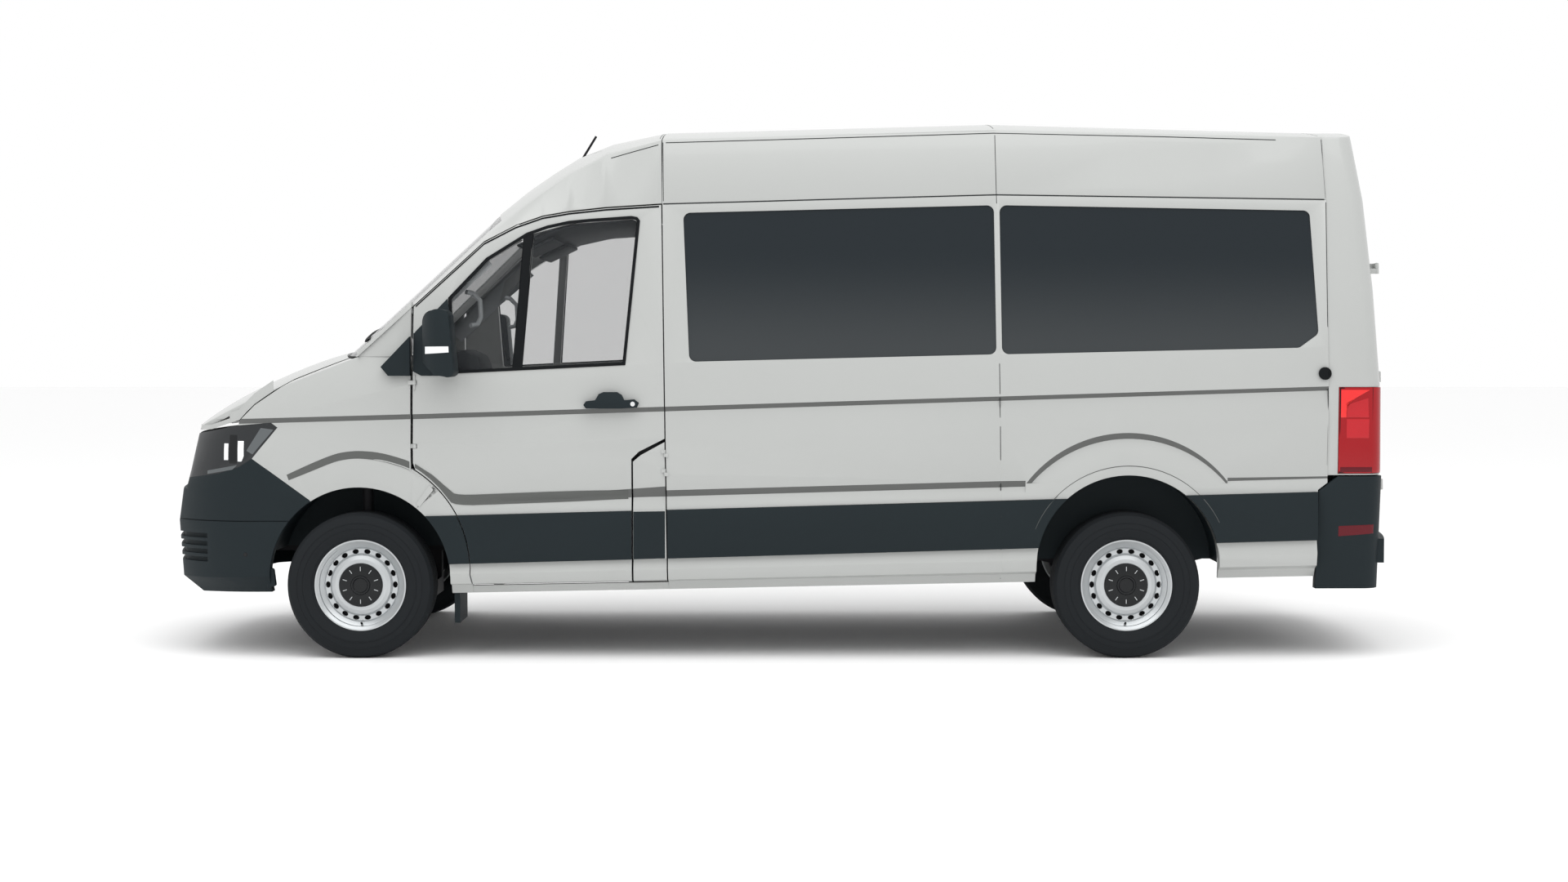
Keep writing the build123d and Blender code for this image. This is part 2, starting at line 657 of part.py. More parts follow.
seam = (nose - nose_mould(6)) & block(2200, NOSE, -1100, 1100, BUMPER_SEAM, BUMPER_SEAM + 5)
bumper = bumper - seam
rib_depth = nose - nose_mould(16)
for i in range(INTAKE_RIBS):
    z = INTAKE_FOOT + INTAKE_PITCH * i
    bumper = bumper - (rib_depth & block(INTAKE_REAR, NOSE, -1100, 1100, z, z + INTAKE_PITCH * 0.6))
bumper = largest(bumper)
bracket = block(RAIL_FRONT, NOSE, RAIL_Y - RAIL_HALF, RAIL_Y + RAIL_HALF, RAIL_LOW + 10, 590) & nose_mould(60)
bumper = largest(bumper + bracket + other_side(bracket))
save("front_bumper", bumper)
A_POST = (1752, 1815, 862, 1000, 820, COWL_Z)
a_post = largest(block(*A_POST) & nose_mould(NOSE_WALL))
save("a_posts", a_post, other_side(a_post))

# Rear end.


def tail_mould(inset):
    """Rear end as a stack of plan outlines, drawn in by an inset."""
    sections = []
    for z, face in TAIL_LEVELS:
        h = 812 if z > 2550 else (868 if z > 2400 else skin_y("tail", "mid", REAR_SEAM, z))
        h = h - inset
        back = face + TAIL_BULGE + inset
        outline = [
            (-2480, h), (back + 95, h - 5), ((back + 26, h - 32), (back, h - 95)),
            ((face + inset, 0), (back, -h + 95)), ((back + 26, -h + 32), (back + 95, -h + 5)), (-2480, -h),
        ]
        sections.append(wire(outline, lambda p: Vector(p[0], p[1], z)))
    return Solid.make_loft(sections, ruled=True)


def tail_roof(lower):
    x, taper, gutter_z, gutter_inset, edge_z, edge, crown = STATIONS["tail"]
    edge_z = edge_z - lower
    outline = [(-1100, 200), (-1100, edge_z), (-edge, edge_z), ((0, crown - lower), (edge, edge_z)),
               (1100, edge_z), (1100, 200)]
    return rear_prism(outline, -3100, -2400)


tail_shell = (tail_mould(0) & tail_roof(0)) - (tail_mould(TAIL_WALL) & tail_roof(ROOF_WALL))
frame_outline = [(-2584, 874), (-2584, 1292), (-2579, 2171), (-2560, 2700), (-3100, 2700), (-3100, 874)]
door_hole = rear_prism([(-DOOR_EDGE_Y, 300), (DOOR_EDGE_Y, 300), (DOOR_EDGE_Y, DOOR_HEAD_Z),
                        (-DOOR_EDGE_Y, DOOR_HEAD_Z)], -3100, -2640)
lamp_box = [(-2632, 880), (-2632, 1290), (-3100, 1290), (-3100, 880)]
tail_lamp = (tail_mould(-3) - tail_mould(42)) & side_prism(shrink(lamp_box, 3), DOOR_EDGE_Y + 14)
tail_lamp = largest(tail_lamp)
lamp_hole = side_prism(lamp_box, DOOR_EDGE_Y + 11) - tail_mould(42)
frame = tail_shell & side_prism(frame_outline, -1400)
frame = frame - door_hole - lamp_hole - other_side(lamp_hole)
FOOT_Y = 876
foot = tail_shell & rear_prism([(DOOR_EDGE_Y, DOOR_SILL_Z), (FOOT_Y, DOOR_SILL_Z), (FOOT_Y, 880),
                                (DOOR_EDGE_Y, 880)], -3100, -2700)
frame = frame + foot + other_side(foot)
save("tail_lamps", tail_lamp, other_side(tail_lamp))
REAR_WINDOW = [(130, 1440), (DOOR_EDGE_Y - 110, 1440), (DOOR_EDGE_Y - 130, 2120), (130, 2120)]
leaf_outline = [(half, DOOR_SILL_Z + GAP), (DOOR_EDGE_Y - GAP, DOOR_SILL_Z + GAP),
                (DOOR_EDGE_Y - GAP, DOOR_HEAD_Z - GAP), (half, DOOR_HEAD_Z - GAP)]
leaf = tail_shell & rear_prism(leaf_outline, -3100, -2640)
leaf = largest(leaf - rear_prism(REAR_WINDOW, -3100, -2640))
rear_sheet = tail_mould(GLASS_INSET) - tail_mould(GLASS_INSET + GLASS)
rear_glass = largest(rear_sheet & rear_prism(shrink(REAR_WINDOW, PANE_GAP), -3100, -2640))
REAR_HINGES = [796, 1310, 1826]


def rear_pin(z):
    """Point on the rear door's hinge line."""
    return (REAR_HINGE_X + REAR_HINGE_LEAN * (z - REAR_HINGES[0]), REAR_HINGE_Y, z)


for z in REAR_HINGES:
    x = rear_pin(z + 24)[0]
    lug = rod(rear_pin(z), rear_pin(z + 24), 10) + rod(rear_pin(z), rear_pin(z + 52), HINGE_PIN)
    lug = lug + block(x, x + 60, REAR_HINGE_Y - 8, REAR_HINGE_Y + 8, z, z + 24)
    frame = frame + lug + other_side(lug)
    strap = rod(rear_pin(z + 25), rear_pin(z + 50), 10)
    strap = strap + block(x - 8, x + 4, REAR_HINGE_Y - 90, REAR_HINGE_Y, z + 25, z + 50)
    strap = strap + block(x - 8, x + 60, REAR_HINGE_Y - 90, REAR_HINGE_Y - 62, z + 25, z + 50)
    leaf = leaf + (strap - rod(rear_pin(z + 20), rear_pin(z + 60), HINGE_PIN + PIN_CLEAR))
leaf = largest(leaf)
save("rear_frame", largest(frame))
save("rear_door_left", leaf)
save("rear_door_right", other_side(leaf))
save("rear_glass_left", rear_glass)
save("rear_glass_right", other_side(rear_glass))
bumper_side = [(-2546, 330), (-2546, 800), (-2634, 868), (-3100, 868), (-3100, 330)]
corner = (tail_mould(-8) - tail_mould(50)) & side_prism(bumper_side, -1400)
notch = FOOT_Y + 1
corner = corner - block(-3100, -2640, -notch, notch, BUMPER_TOP, 1000)
step = plan_prism([(-2830, -900), (-2880, -900), ((TAIL, 0), (-2880, 900)), (-2830, 900)], 450, 565)
rear_bumper = largest(corner + step)
save("rear_bumper", rear_bumper)
save("cladding", *left_clads, *[other_side(s) for s in left_clads])

# Floor, bulkhead and frame rails.
REAR_BOX_Y = 690
FRONT_BOX_Y = 520
floor = block(-2740, 1960, -900, 900, FLOOR_Z - FLOOR_THICK, FLOOR_Z)
wide = block(-2500, 500, -990, 990, FLOOR_Z - FLOOR_THICK, FLOOR_Z) - box_side - other_side(box_side)
floor = floor + largest(wide)
for x, inner, reach in ((FRONT_AXLE, FRONT_BOX_Y, 470), (REAR_AXLE, REAR_BOX_Y, 460)):
    for y0, y1 in ((inner, 1200), (-1200, -inner)):
        floor = floor - block(x - reach, x + reach, y0, y1, 300, 900)
wall = block(1930, 1960, -880, 880, FLOOR_Z, COWL_Z - 40)
for y0, y1 in ((FRONT_BOX_Y, 1200), (-1200, -FRONT_BOX_Y)):
    wall = wall - block(1500, 2500, y0, y1, 300, 862)
cowl = block(1930, 2018, -880, 880, COWL_Z - 40, COWL_Z - 4)
save("floor_pan", largest(floor + wall + cowl))
load_floor = block(-2690, 480, -880, 880, FLOOR_Z, FLOOR_Z + 12)
for y0, y1 in ((REAR_BOX_Y, 1200), (-1200, -REAR_BOX_Y)):
    load_floor = load_floor - block(REAR_AXLE - 460, REAR_AXLE + 460, y0, y1, 300, 900)
save("load_floor", load_floor)
rails = block(-2760, RAIL_FRONT, RAIL_Y - RAIL_HALF, RAIL_Y + RAIL_HALF, RAIL_LOW, FLOOR_Z - FLOOR_THICK)
rails = rails + other_side(rails)
for x in (RAIL_FRONT - 70, 1150, -150, -1100, -2760):
    rails = rails + block(x, x + 70, -RAIL_Y, RAIL_Y, RAIL_LOW + 30, FLOOR_Z - FLOOR_THICK)
TOW_X = -2560
TOW_PITCH = 120
TOW_HOLE = 7
for x in (TOW_X - TOW_PITCH / 2, TOW_X + TOW_PITCH / 2):
    for y in (-RAIL_Y, RAIL_Y):
        rails = rails - rod((x, y, RAIL_LOW - 20), (x, y, FLOOR_Z), TOW_HOLE)
save("frame_rails", largest(rails))

# Wheels.
RIM_WIDTH = 165
DISC_OUT = 62
BORE = 34
HUB_CLEAR = 0.5
HOLES = 18
HOLE_RING = 160
HOLE_LONG = 16
HOLE_SHORT = 12
CAP_RADIUS = 103


def turned(profile, y0):
    """Ring turned about the wheel axis; the profile gives radius and offset from the wheel centre."""
    face = Face(Wire.make_polygon([Vector(r, y0 + d, 0) for r, d in profile]))
    return Solid.revolve(face, 360, Axis((0, 0, 0), (0, 1, 0)))


half_tyre = TYRE_WIDTH / 2
BEAD = RIM_RADIUS + 1.5
tyre_profile = [
    (SEAT_RADIUS + 3, -70), (BEAD, -75), (BEAD + 1, -84), (232, -97), (262, -half_tyre), (300, -half_tyre),
    (333, -97), (TYRE_RADIUS, -76), (TYRE_RADIUS, 76), (333, 97), (300, half_tyre), (262, half_tyre),
    (232, 97), (BEAD + 1, 84), (BEAD, 75), (SEAT_RADIUS + 3, 70),
]
rim_profile = [
    (RIM_RADIUS, -82), (RIM_RADIUS, -76), (SEAT_RADIUS + 2.5, -72), (SEAT_RADIUS, -45), (188, -30), (188, 24),
    (SEAT_RADIUS, 50), (SEAT_RADIUS + 2.5, 72), (RIM_RADIUS, 76), (RIM_RADIUS, 82), (RIM_RADIUS - 6, 82),
    (SEAT_RADIUS - 5, 70), (SEAT_RADIUS - 6, 52), (177, 36), (172, 41), (150, 42), (140, 52), (122, 60),
    (CAP_RADIUS, DISC_OUT), (CAP_RADIUS, DISC_OUT + 6), (34, DISC_OUT + 10), (0, DISC_OUT + 10),
    (0, DISC_OUT - 2), (BORE, DISC_OUT - 2), (BORE, DISC_OUT - 14), (112, DISC_OUT - 14), (136, 40),
    (147, 31), (168, 30),
    (180, 20), (180, -32), (SEAT_RADIUS - 7, -46), (SEAT_RADIUS - 5, -70), (RIM_RADIUS - 6, -82),
]
tyre = turned(tyre_profile, 0)
rim = turned(rim_profile, 0)
for i in range(HOLES):
    angle = math.radians(360 / HOLES * i)
    oval = []
    for a in range(0, 360, 45):
        out = HOLE_RING + HOLE_SHORT * math.cos(math.radians(a))
        along_ring = HOLE_LONG * math.sin(math.radians(a))
        oval.append((out * math.cos(angle) - along_ring * math.sin(angle),
                     out * math.sin(angle) + along_ring * math.cos(angle)))
    rim = rim - side_prism(oval, 10, 70)
rim = largest(rim)
for end, x in (("front", FRONT_AXLE), ("rear", REAR_AXLE)):
    for name, shape in (("tyre", tyre), ("rim", rim)):
        left = shape.translate(Vector(x, WHEEL_Y, TYRE_RADIUS))
        save(f"{name}_{end}_left", left)
        save(f"{name}_{end}_right", other_side(left))

# Steered knuckle with its strut and hub.
hub_face = WHEEL_Y + DISC_OUT - 14 - HUB_CLEAR
spigot_end = hub_face + 10


def hub(x):
    parts = rod((x, 760, TYRE_RADIUS), (x, hub_face, TYRE_RADIUS), 62)
    return parts + rod((x, hub_face, TYRE_RADIUS), (x, spigot_end, TYRE_RADIUS), BORE - HUB_CLEAR)


STRUT_TOP = 800
BALL_TOP = 196
knuckle = hub(FRONT_AXLE) + block(FRONT_AXLE - 45, FRONT_AXLE + 45, 690, 790, BALL_TOP + HUB_CLEAR, 430)
knuckle = knuckle + rod((FRONT_AXLE, KINGPIN_Y, 300), (FRONT_AXLE, KINGPIN_Y, STRUT_TOP), 26)
knuckle = largest(knuckle)
save("knuckle_left", knuckle)
save("knuckle_right", other_side(knuckle))
arm_plan = [(FRONT_AXLE - 160, 380), (FRONT_AXLE + 160, 380), (FRONT_AXLE + 32, 745), (FRONT_AXLE - 32, 745)]
arm = plan_prism(arm_plan, BALL_TOP - 30, BALL_TOP)
cradle = block(FRONT_AXLE - 190, FRONT_AXLE + 190, -460, 460, 170, 250)
for y in (400, -460):
    cradle = cradle + block(FRONT_AXLE - 190, FRONT_AXLE - 130, y, y + 60, 250, RAIL_LOW)
    cradle = cradle + block(FRONT_AXLE + 130, FRONT_AXLE + 190, y, y + 60, 250, RAIL_LOW)
save("front_subframe", largest(cradle + arm + other_side(arm)))

# Rear beam axle on leaf springs.
SPRING_Y = 600
axle = rod((REAR_AXLE, -780, TYRE_RADIUS), (REAR_AXLE, 780, TYRE_RADIUS), 42)
axle = axle + hub(REAR_AXLE) + other_side(hub(REAR_AXLE))
spring = side_prism([(REAR_AXLE + 640, 520), ((REAR_AXLE, 392), (REAR_AXLE - 640, 520)), (REAR_AXLE - 640, 560),
                     ((REAR_AXLE, 432), (REAR_AXLE + 640, 560))], SPRING_Y - 35, SPRING_Y + 35)
seat = block(REAR_AXLE - 60, REAR_AXLE + 60, SPRING_Y - 40, SPRING_Y + 40, TYRE_RADIUS - 30, 410)
hangers = [block(REAR_AXLE + d - 40, REAR_AXLE + d + 40, SPRING_Y - 40, SPRING_Y + 40, 500, FLOOR_Z - FLOOR_THICK)
           for d in (-640, 640)]
suspension = spring + seat
for hanger in hangers:
    suspension = suspension + hanger
save("rear_axle", largest(axle + suspension + other_side(suspension)))

# Wheel arch liners and mud flaps.
def liner(x, z, radius, y_low, y_high, foot):
    """Wheel arch liner: a bowl over the wheel, open to the outside."""
    shell = rod((x, y_low, z), (x, y_high, z), radius + 6) - rod((x, y_low + 6, z), (x, y_high + 10, z), radius)
    return largest(shell - block(x - 600, x + 600, y_low - 10, y_high + 10, 0, foot))


front_liner = liner(FRONT_AXLE, FRONT_ARCH_Z, 446, FRONT_BOX_Y, 850, 500)
mount = rod((FRONT_AXLE, KINGPIN_Y, STRUT_TOP + HUB_CLEAR), (FRONT_AXLE, KINGPIN_Y, FRONT_ARCH_Z + 450), 60)
front_liner = largest(front_liner + mount)
FLAP_REAR = 1528
FLAP_THICK = 26
flap_foot = block(FLAP_REAR, FLAP_REAR + FLAP_THICK, 620, 880, 160, 512)
flap_foot = flap_foot + block(FLAP_REAR, FRONT_AXLE - 380, 620, 840, 500, 512)
flap_foot = flap_foot - Solid.make_cylinder(446, 900, Plane((FRONT_AXLE, 300, FRONT_ARCH_Z), z_dir=(0, 1, 0)))
front_liner = largest(front_liner + flap_foot)
rear_liner = liner(REAR_AXLE, REAR_ARCH_Z, 440, REAR_BOX_Y, 900, 450)
save("arch_liners", front_liner, other_side(front_liner), rear_liner, other_side(rear_liner))

# Things under the floor and bonnet.
save("engine_block", block(2090, RAIL_FRONT - 70, -380, 380, 500, 1120))
save("radiator", block(RAIL_FRONT, RAIL_FRONT + 60, -380, 380, 480, 1000))
save("fuel_tank", block(180, 1120, -110, 370, 380, FLOOR_Z - FLOOR_THICK))
pipe = rod((2080, -250, 430), (-900, -250, 430), 25) + Solid.make_sphere(25, Plane((-900, -250, 430)))
pipe = pipe + rod((-900, -250, 430), (-900, -880, 405), 25)
pipe = pipe + rod((50, -250, 420), (-600, -250, 420), 70)
save("exhaust", largest(pipe + block(-140, -90, -265, -235, 430, RAIL_LOW + 30)))
save("spare_wheel", Solid.make_cylinder(325, 180, Plane((-2330, 0, FLOOR_Z - FLOOR_THICK - 180))))

# Cab fittings.
dash = side_prism([(1930, 900), (1930, 1385), (1800, 1395), (1560, 1330), (1500, 1240), (1560, 950)], -850, 850)
WHEEL_HUB = Vector(1360, 400, 1190)
COLUMN_TILT = math.radians(32)
column_axis = Vector(-math.cos(COLUMN_TILT), 0, math.sin(COLUMN_TILT))
column = rod(WHEEL_HUB - column_axis * 41, WHEEL_HUB - column_axis * 260, 36)
save("dashboard", largest(dash + column))
WHEEL_RING = 185
downward = Vector(-math.sin(COLUMN_TILT), 0, -math.cos(COLUMN_TILT))
RING_GRIP = 16
grip = []
for a in range(15, 375, 30):
    reach = WHEEL_RING + RING_GRIP * math.cos(math.radians(a))
    grip.append(WHEEL_HUB - downward * reach + column_axis * RING_GRIP * math.sin(math.radians(a)))
ring = Solid.revolve(Face(Wire.make_polygon(grip)), 360, Axis(WHEEL_HUB, column_axis))
boss = rod(WHEEL_HUB - column_axis * 40, WHEEL_HUB + column_axis * 10, 62)
across = rod(WHEEL_HUB - Vector(0, WHEEL_RING, 0), WHEEL_HUB + Vector(0, WHEEL_RING, 0), 13)
lower = rod(WHEEL_HUB, WHEEL_HUB + downward * WHEEL_RING, 13)
save("steering_wheel", largest(ring.fuse(boss, across, lower)))


def seat_solid(y0, y1):
    base = block(560, 1040, y0, y1, FLOOR_Z, 960)
    back = side_prism([(440, 940), (600, 940), (480, 1640), (380, 1640)], y0, y1)
    return largest(base + back)


save("seats", seat_solid(190, 690), seat_solid(-720, 60))
save("aerial", largest(rod((1036, 0, 2394), (940, 0, 2550), 6) - cab_top))
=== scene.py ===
# %% [markdown]
# # A high-roof van with glazed sides
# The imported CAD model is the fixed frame. Each step below adds finish to it: materials, softened
# panel edges, then the small pieces that a photograph of the van shows.

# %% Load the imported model
import json
import math

import bpy
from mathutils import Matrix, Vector

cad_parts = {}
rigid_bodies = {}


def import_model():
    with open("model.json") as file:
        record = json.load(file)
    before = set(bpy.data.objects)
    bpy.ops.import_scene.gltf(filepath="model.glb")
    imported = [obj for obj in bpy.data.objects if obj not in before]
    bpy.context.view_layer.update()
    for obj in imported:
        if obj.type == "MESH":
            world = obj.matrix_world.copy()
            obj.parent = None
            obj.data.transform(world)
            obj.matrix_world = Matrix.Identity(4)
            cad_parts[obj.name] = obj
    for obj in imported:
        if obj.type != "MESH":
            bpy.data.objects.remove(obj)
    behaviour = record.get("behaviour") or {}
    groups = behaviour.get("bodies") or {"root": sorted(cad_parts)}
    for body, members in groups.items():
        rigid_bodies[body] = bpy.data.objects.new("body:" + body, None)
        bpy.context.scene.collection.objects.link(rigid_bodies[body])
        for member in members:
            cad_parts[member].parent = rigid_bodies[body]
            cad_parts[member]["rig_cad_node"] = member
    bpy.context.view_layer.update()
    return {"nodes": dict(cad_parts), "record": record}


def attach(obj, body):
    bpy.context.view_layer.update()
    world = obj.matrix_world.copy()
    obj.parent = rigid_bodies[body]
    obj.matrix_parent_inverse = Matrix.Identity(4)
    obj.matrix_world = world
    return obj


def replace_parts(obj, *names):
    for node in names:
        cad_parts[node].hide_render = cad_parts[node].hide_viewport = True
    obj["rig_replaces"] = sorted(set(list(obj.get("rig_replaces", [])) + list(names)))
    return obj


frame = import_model()
nodes = frame["nodes"]
body_of = {n: b for b, group in frame["record"]["behaviour"]["bodies"].items() for n in group}
# Centres of the left wheels, as in the model.
WHEEL_X = {"front": 1.993, "rear": -1.647}
WHEEL_Y = 0.862
WHEEL_Z = 0.346
print("nodes", len(nodes))


# %% [markdown]
# ## Shader values
# Shader maths reads best as plain sums. A small wrapper keeps a node tree and one socket,
# makes nodes by one method, and gives plus, minus and times to what it makes.

# %% A socket that can be added and multiplied
class Value:
    def __init__(self, tree, socket):
        self.tree = tree
        self.socket = socket

    def make(self, kind, inputs, output=0, **settings):
        node = self.tree.nodes.new(kind)
        for key, setting in settings.items():
            setattr(node, key, setting)
        for key, given in inputs.items():
            if isinstance(given, Value):
                self.tree.links.new(given.socket, node.inputs[key])
            else:
                node.inputs[key].default_value = given
        return Value(self.tree, node.outputs[output])

    def maths(self, kind, other):
        return self.make("ShaderNodeMath", {0: self, 1: other}, operation=kind)

    def __add__(self, other):
        return self.maths("ADD", other)

    def __sub__(self, other):
        return self.maths("SUBTRACT", other)

    def __mul__(self, other):
        return self.maths("MULTIPLY", other)

    def step(self, low, high):
        return self.make("ShaderNodeMapRange", {"Value": self, "From Min": low, "From Max": high},
                         interpolation_type="SMOOTHSTEP")

    def noise(self, scale, detail):
        return self.make("ShaderNodeTexNoise", {"Vector": self, "Scale": scale, "Detail": detail})

    def axis(self, index):
        return self.make("ShaderNodeSeparateXYZ", {0: self}, index)

    def tint(self, first, second):
        return self.make("ShaderNodeMix", {0: self, 6: (*first, 1), 7: (*second, 1)}, 2, data_type="RGBA")


# %% [markdown]
# ## Materials
# Every finish starts from one function that makes a principled surface, a little colour drift,
# a little roughness drift and a fine bump, all from object coordinates in metres.

# %% One function for every finish
CLOUD_SCALE = 2.3
CLOUD_ROUGHNESS = 0.12
GRAIN_ROUGHNESS = 0.08
COAT_ROUGHNESS = 0.08
BUMP_HEIGHT = 0.001


def finish(name, colour, rough, metal=0.0, coat=0.0, alpha=1.0, grain=900.0, bump=0.05, drift=0.06,
           gloss=0.5):
    material = bpy.data.materials.new(name)
    material.use_nodes = True
    tree = material.node_tree
    surface = tree.nodes["Principled BSDF"]
    place = Value(tree, tree.nodes.new("ShaderNodeTexCoord").outputs["Object"])
    cloud = place.noise(CLOUD_SCALE, 4.0)
    fine = place.noise(grain, 2.0)
    dark = [c * (1 - drift) for c in colour]
    light = [min(1.0, c * (1 + drift)) for c in colour]
    shade = cloud.tint(dark, light)
    rougher = (cloud - 0.5) * CLOUD_ROUGHNESS + (fine - 0.5) * GRAIN_ROUGHNESS + rough
    height = fine.make("ShaderNodeBump", {"Height": fine, "Strength": bump, "Distance": BUMP_HEIGHT})
    tree.links.new(shade.socket, surface.inputs["Base Color"])
    tree.links.new(rougher.socket, surface.inputs["Roughness"])
    tree.links.new(height.socket, surface.inputs["Normal"])
    surface.inputs["Metallic"].default_value = metal
    surface.inputs["Coat Weight"].default_value = coat
    surface.inputs["Coat Roughness"].default_value = COAT_ROUGHNESS
    surface.inputs["Specular IOR Level"].default_value = gloss
    surface.inputs["Alpha"].default_value = alpha
    return material


# %% Painted, moulded and metal finishes
paint = finish("body_paint", (0.41, 0.42, 0.41), 0.34, coat=0.3, grain=240.0, bump=0.02, drift=0.015)
plastic = finish("grained_plastic", (0.011, 0.017, 0.020), 0.55, grain=1400.0, bump=0.35, gloss=0.16)
gloss_black = finish("gloss_black", (0.008, 0.009, 0.010), 0.22, bump=0.02, gloss=0.25)
rubber = finish("rubber", (0.006, 0.007, 0.008), 0.75, grain=700.0, bump=0.2, gloss=0.12)
tyre_rubber = finish("tyre_rubber", (0.011, 0.013, 0.015), 0.78, grain=600.0, bump=0.25, gloss=0.18)
silver = finish("silver_wheel_paint", (0.50, 0.52, 0.53), 0.34, metal=0.7, grain=2400.0, bump=0.03)
chrome = finish("bright_metal", (0.80, 0.81, 0.82), 0.16, metal=1.0, bump=0.0)
dark_steel = finish("underbody_steel", (0.014, 0.014, 0.016), 0.6, metal=0.3, grain=300.0, bump=0.3,
                    gloss=0.2)
# Dark grey laid in bands along pressed lines and the arch lip: painted shade.
crease_shade_paint = finish("painted_crease_shade", (0.10, 0.104, 0.10), 0.5, bump=0.0, gloss=0.2)
seam_dark = finish("seam_shadow", (0.030, 0.032, 0.033), 0.8, bump=0.0, gloss=0.1)
print("painted, moulded and metal finishes")

# %% Glass and lamp finishes
side_tint = finish("tinted_glass", (0.014, 0.018, 0.022), 0.10, alpha=0.97, bump=0.0, gloss=0.2)
screen_tint = finish("windscreen_glass", (0.10, 0.105, 0.11), 0.05, alpha=0.40, bump=0.0, gloss=0.3)
cab_tint = finish("cab_glass", (0.05, 0.055, 0.06), 0.05, alpha=0.16, bump=0.0, gloss=0.3)
red_lens = finish("red_lens", (0.30, 0.004, 0.008), 0.14, bump=0.02, gloss=0.3)
red_light = finish("red_light", (0.75, 0.030, 0.030), 0.14, grain=500.0, bump=0.1, gloss=0.3)
red_cells = finish("red_cells", (0.42, 0.012, 0.018), 0.3, grain=160.0, bump=0.8, drift=0.4, gloss=0.3)
red_deep = finish("red_deep", (0.10, 0.003, 0.008), 0.2, bump=0.0, gloss=0.25)
lamp_smoke = finish("lamp_smoke", (0.018, 0.020, 0.022), 0.10, bump=0.0, gloss=0.35)
lamp_grey = finish("lamp_grey", (0.09, 0.10, 0.105), 0.15, bump=0.0)
lamp_white = finish("lamp_white", (0.80, 0.81, 0.82), 0.2, bump=0.0)
print("glass and lamp finishes")

# %% Cab and load space finishes
fabric = finish("seat_fabric", (0.035, 0.037, 0.040), 0.9, grain=1800.0, bump=0.6)
trim_grey = finish("cab_trim", (0.045, 0.048, 0.052), 0.7, grain=1200.0, bump=0.3, gloss=0.2)
trim_light = finish("cab_light_trim", (0.42, 0.44, 0.45), 0.6, grain=1200.0, bump=0.2)
board = finish("floor_board", (0.10, 0.085, 0.07), 0.6, grain=60.0, bump=0.2, drift=0.2)
print("cab and load space finishes")

# %% Painted shade on the body paint and a painted floor reflection on the tinted panes
# Painted shade for paint facets turned to the ground.
PAINTED_GROUND_SHADE = (0.075, 0.078, 0.075, 1)
# Heights and colours of a painted floor reflection low on the tinted panes.
PANE_FOOT = 1.42
PANE_MIDDLE = 1.95
PANE_REFLECTED_FLOOR = (0.040, 0.045, 0.048)
PANE_DARK = (0.013, 0.018, 0.022)
# Facets turned to the ground are marked on the mesh; there the paint is darkened towards a dark grey, painted
# shade standing in for the dark ground they face.
surface = paint.node_tree.nodes["Principled BSDF"]
colour = Value(paint.node_tree, surface.inputs["Base Color"].links[0].from_socket)
painted_shade_mask = colour.make("ShaderNodeAttribute", {}, 2, attribute_name="painted_shade_down")
painted_shade_colour = painted_shade_mask.make("ShaderNodeMix", {0: painted_shade_mask, 6: colour, 7: PAINTED_GROUND_SHADE}, 2, data_type="RGBA")
paint.node_tree.links.new(painted_shade_colour.socket, surface.inputs["Base Color"])
# Tinted panes are lighter near their lower edge: a painted reflection of the white floor.
surface = side_tint.node_tree.nodes["Principled BSDF"]
place = Value(side_tint.node_tree, side_tint.node_tree.nodes.new("ShaderNodeTexCoord").outputs["Object"])
painted_floor_reflection = place.axis(2).step(PANE_FOOT, PANE_MIDDLE).tint(PANE_REFLECTED_FLOOR, PANE_DARK)
side_tint.node_tree.links.new(painted_floor_reflection.socket, surface.inputs["Base Color"])
print("materials", len(bpy.data.materials))

# %% [markdown]
# ## Panels with softened edges
# Pressed panels and mouldings have small radii that catch light. A copy of each node is welded,
# flat facets are dissolved, its sharp edges get a narrow bevel, and it stands for the node.

# %% Working with one object at a time
def pick(*objects):
    bpy.ops.object.select_all(action="DESELECT")
    for each in objects:
        each.select_set(True)
    bpy.context.view_layer.objects.active = objects[0]


def dress(obj, material):
    obj.data.materials.clear()
    obj.data.materials.append(material)


def copied(node, name):
    """A copy of a CAD node that may be worked on."""
    pick(nodes[node])
    bpy.ops.object.duplicate()
    copy = bpy.context.object
    copy.name = name
    del copy["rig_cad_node"]
    return copy


def apply(obj, kind, **settings):
    step = obj.modifiers.new(kind.lower(), kind)
    for key, setting in settings.items():
        setattr(step, key, setting)
    bpy.ops.object.modifier_apply(modifier=step.name)


# %% A softened copy that stands for its node
WELD = 0.00004
FLAT = math.radians(0.5)
SHARP = math.radians(28)
SMOOTH = math.radians(32)
# How far a face looks down where the painted shade begins, and how much further for full painted shade.
DOWN_FROM = 0.12
DOWN_SPAN = 0.18
finished = {}


def mark_painted_shade(obj, lowest):
    """Faces above a height get painted shade by how far they look at the ground."""
    mark = obj.data.attributes.new("painted_shade_down", "FLOAT", "FACE")
    for face in obj.data.polygons:
        if face.center.z > lowest:
            mark.data[face.index].value = min(1.0, max(0.0, (-face.normal.z - DOWN_FROM) / DOWN_SPAN))


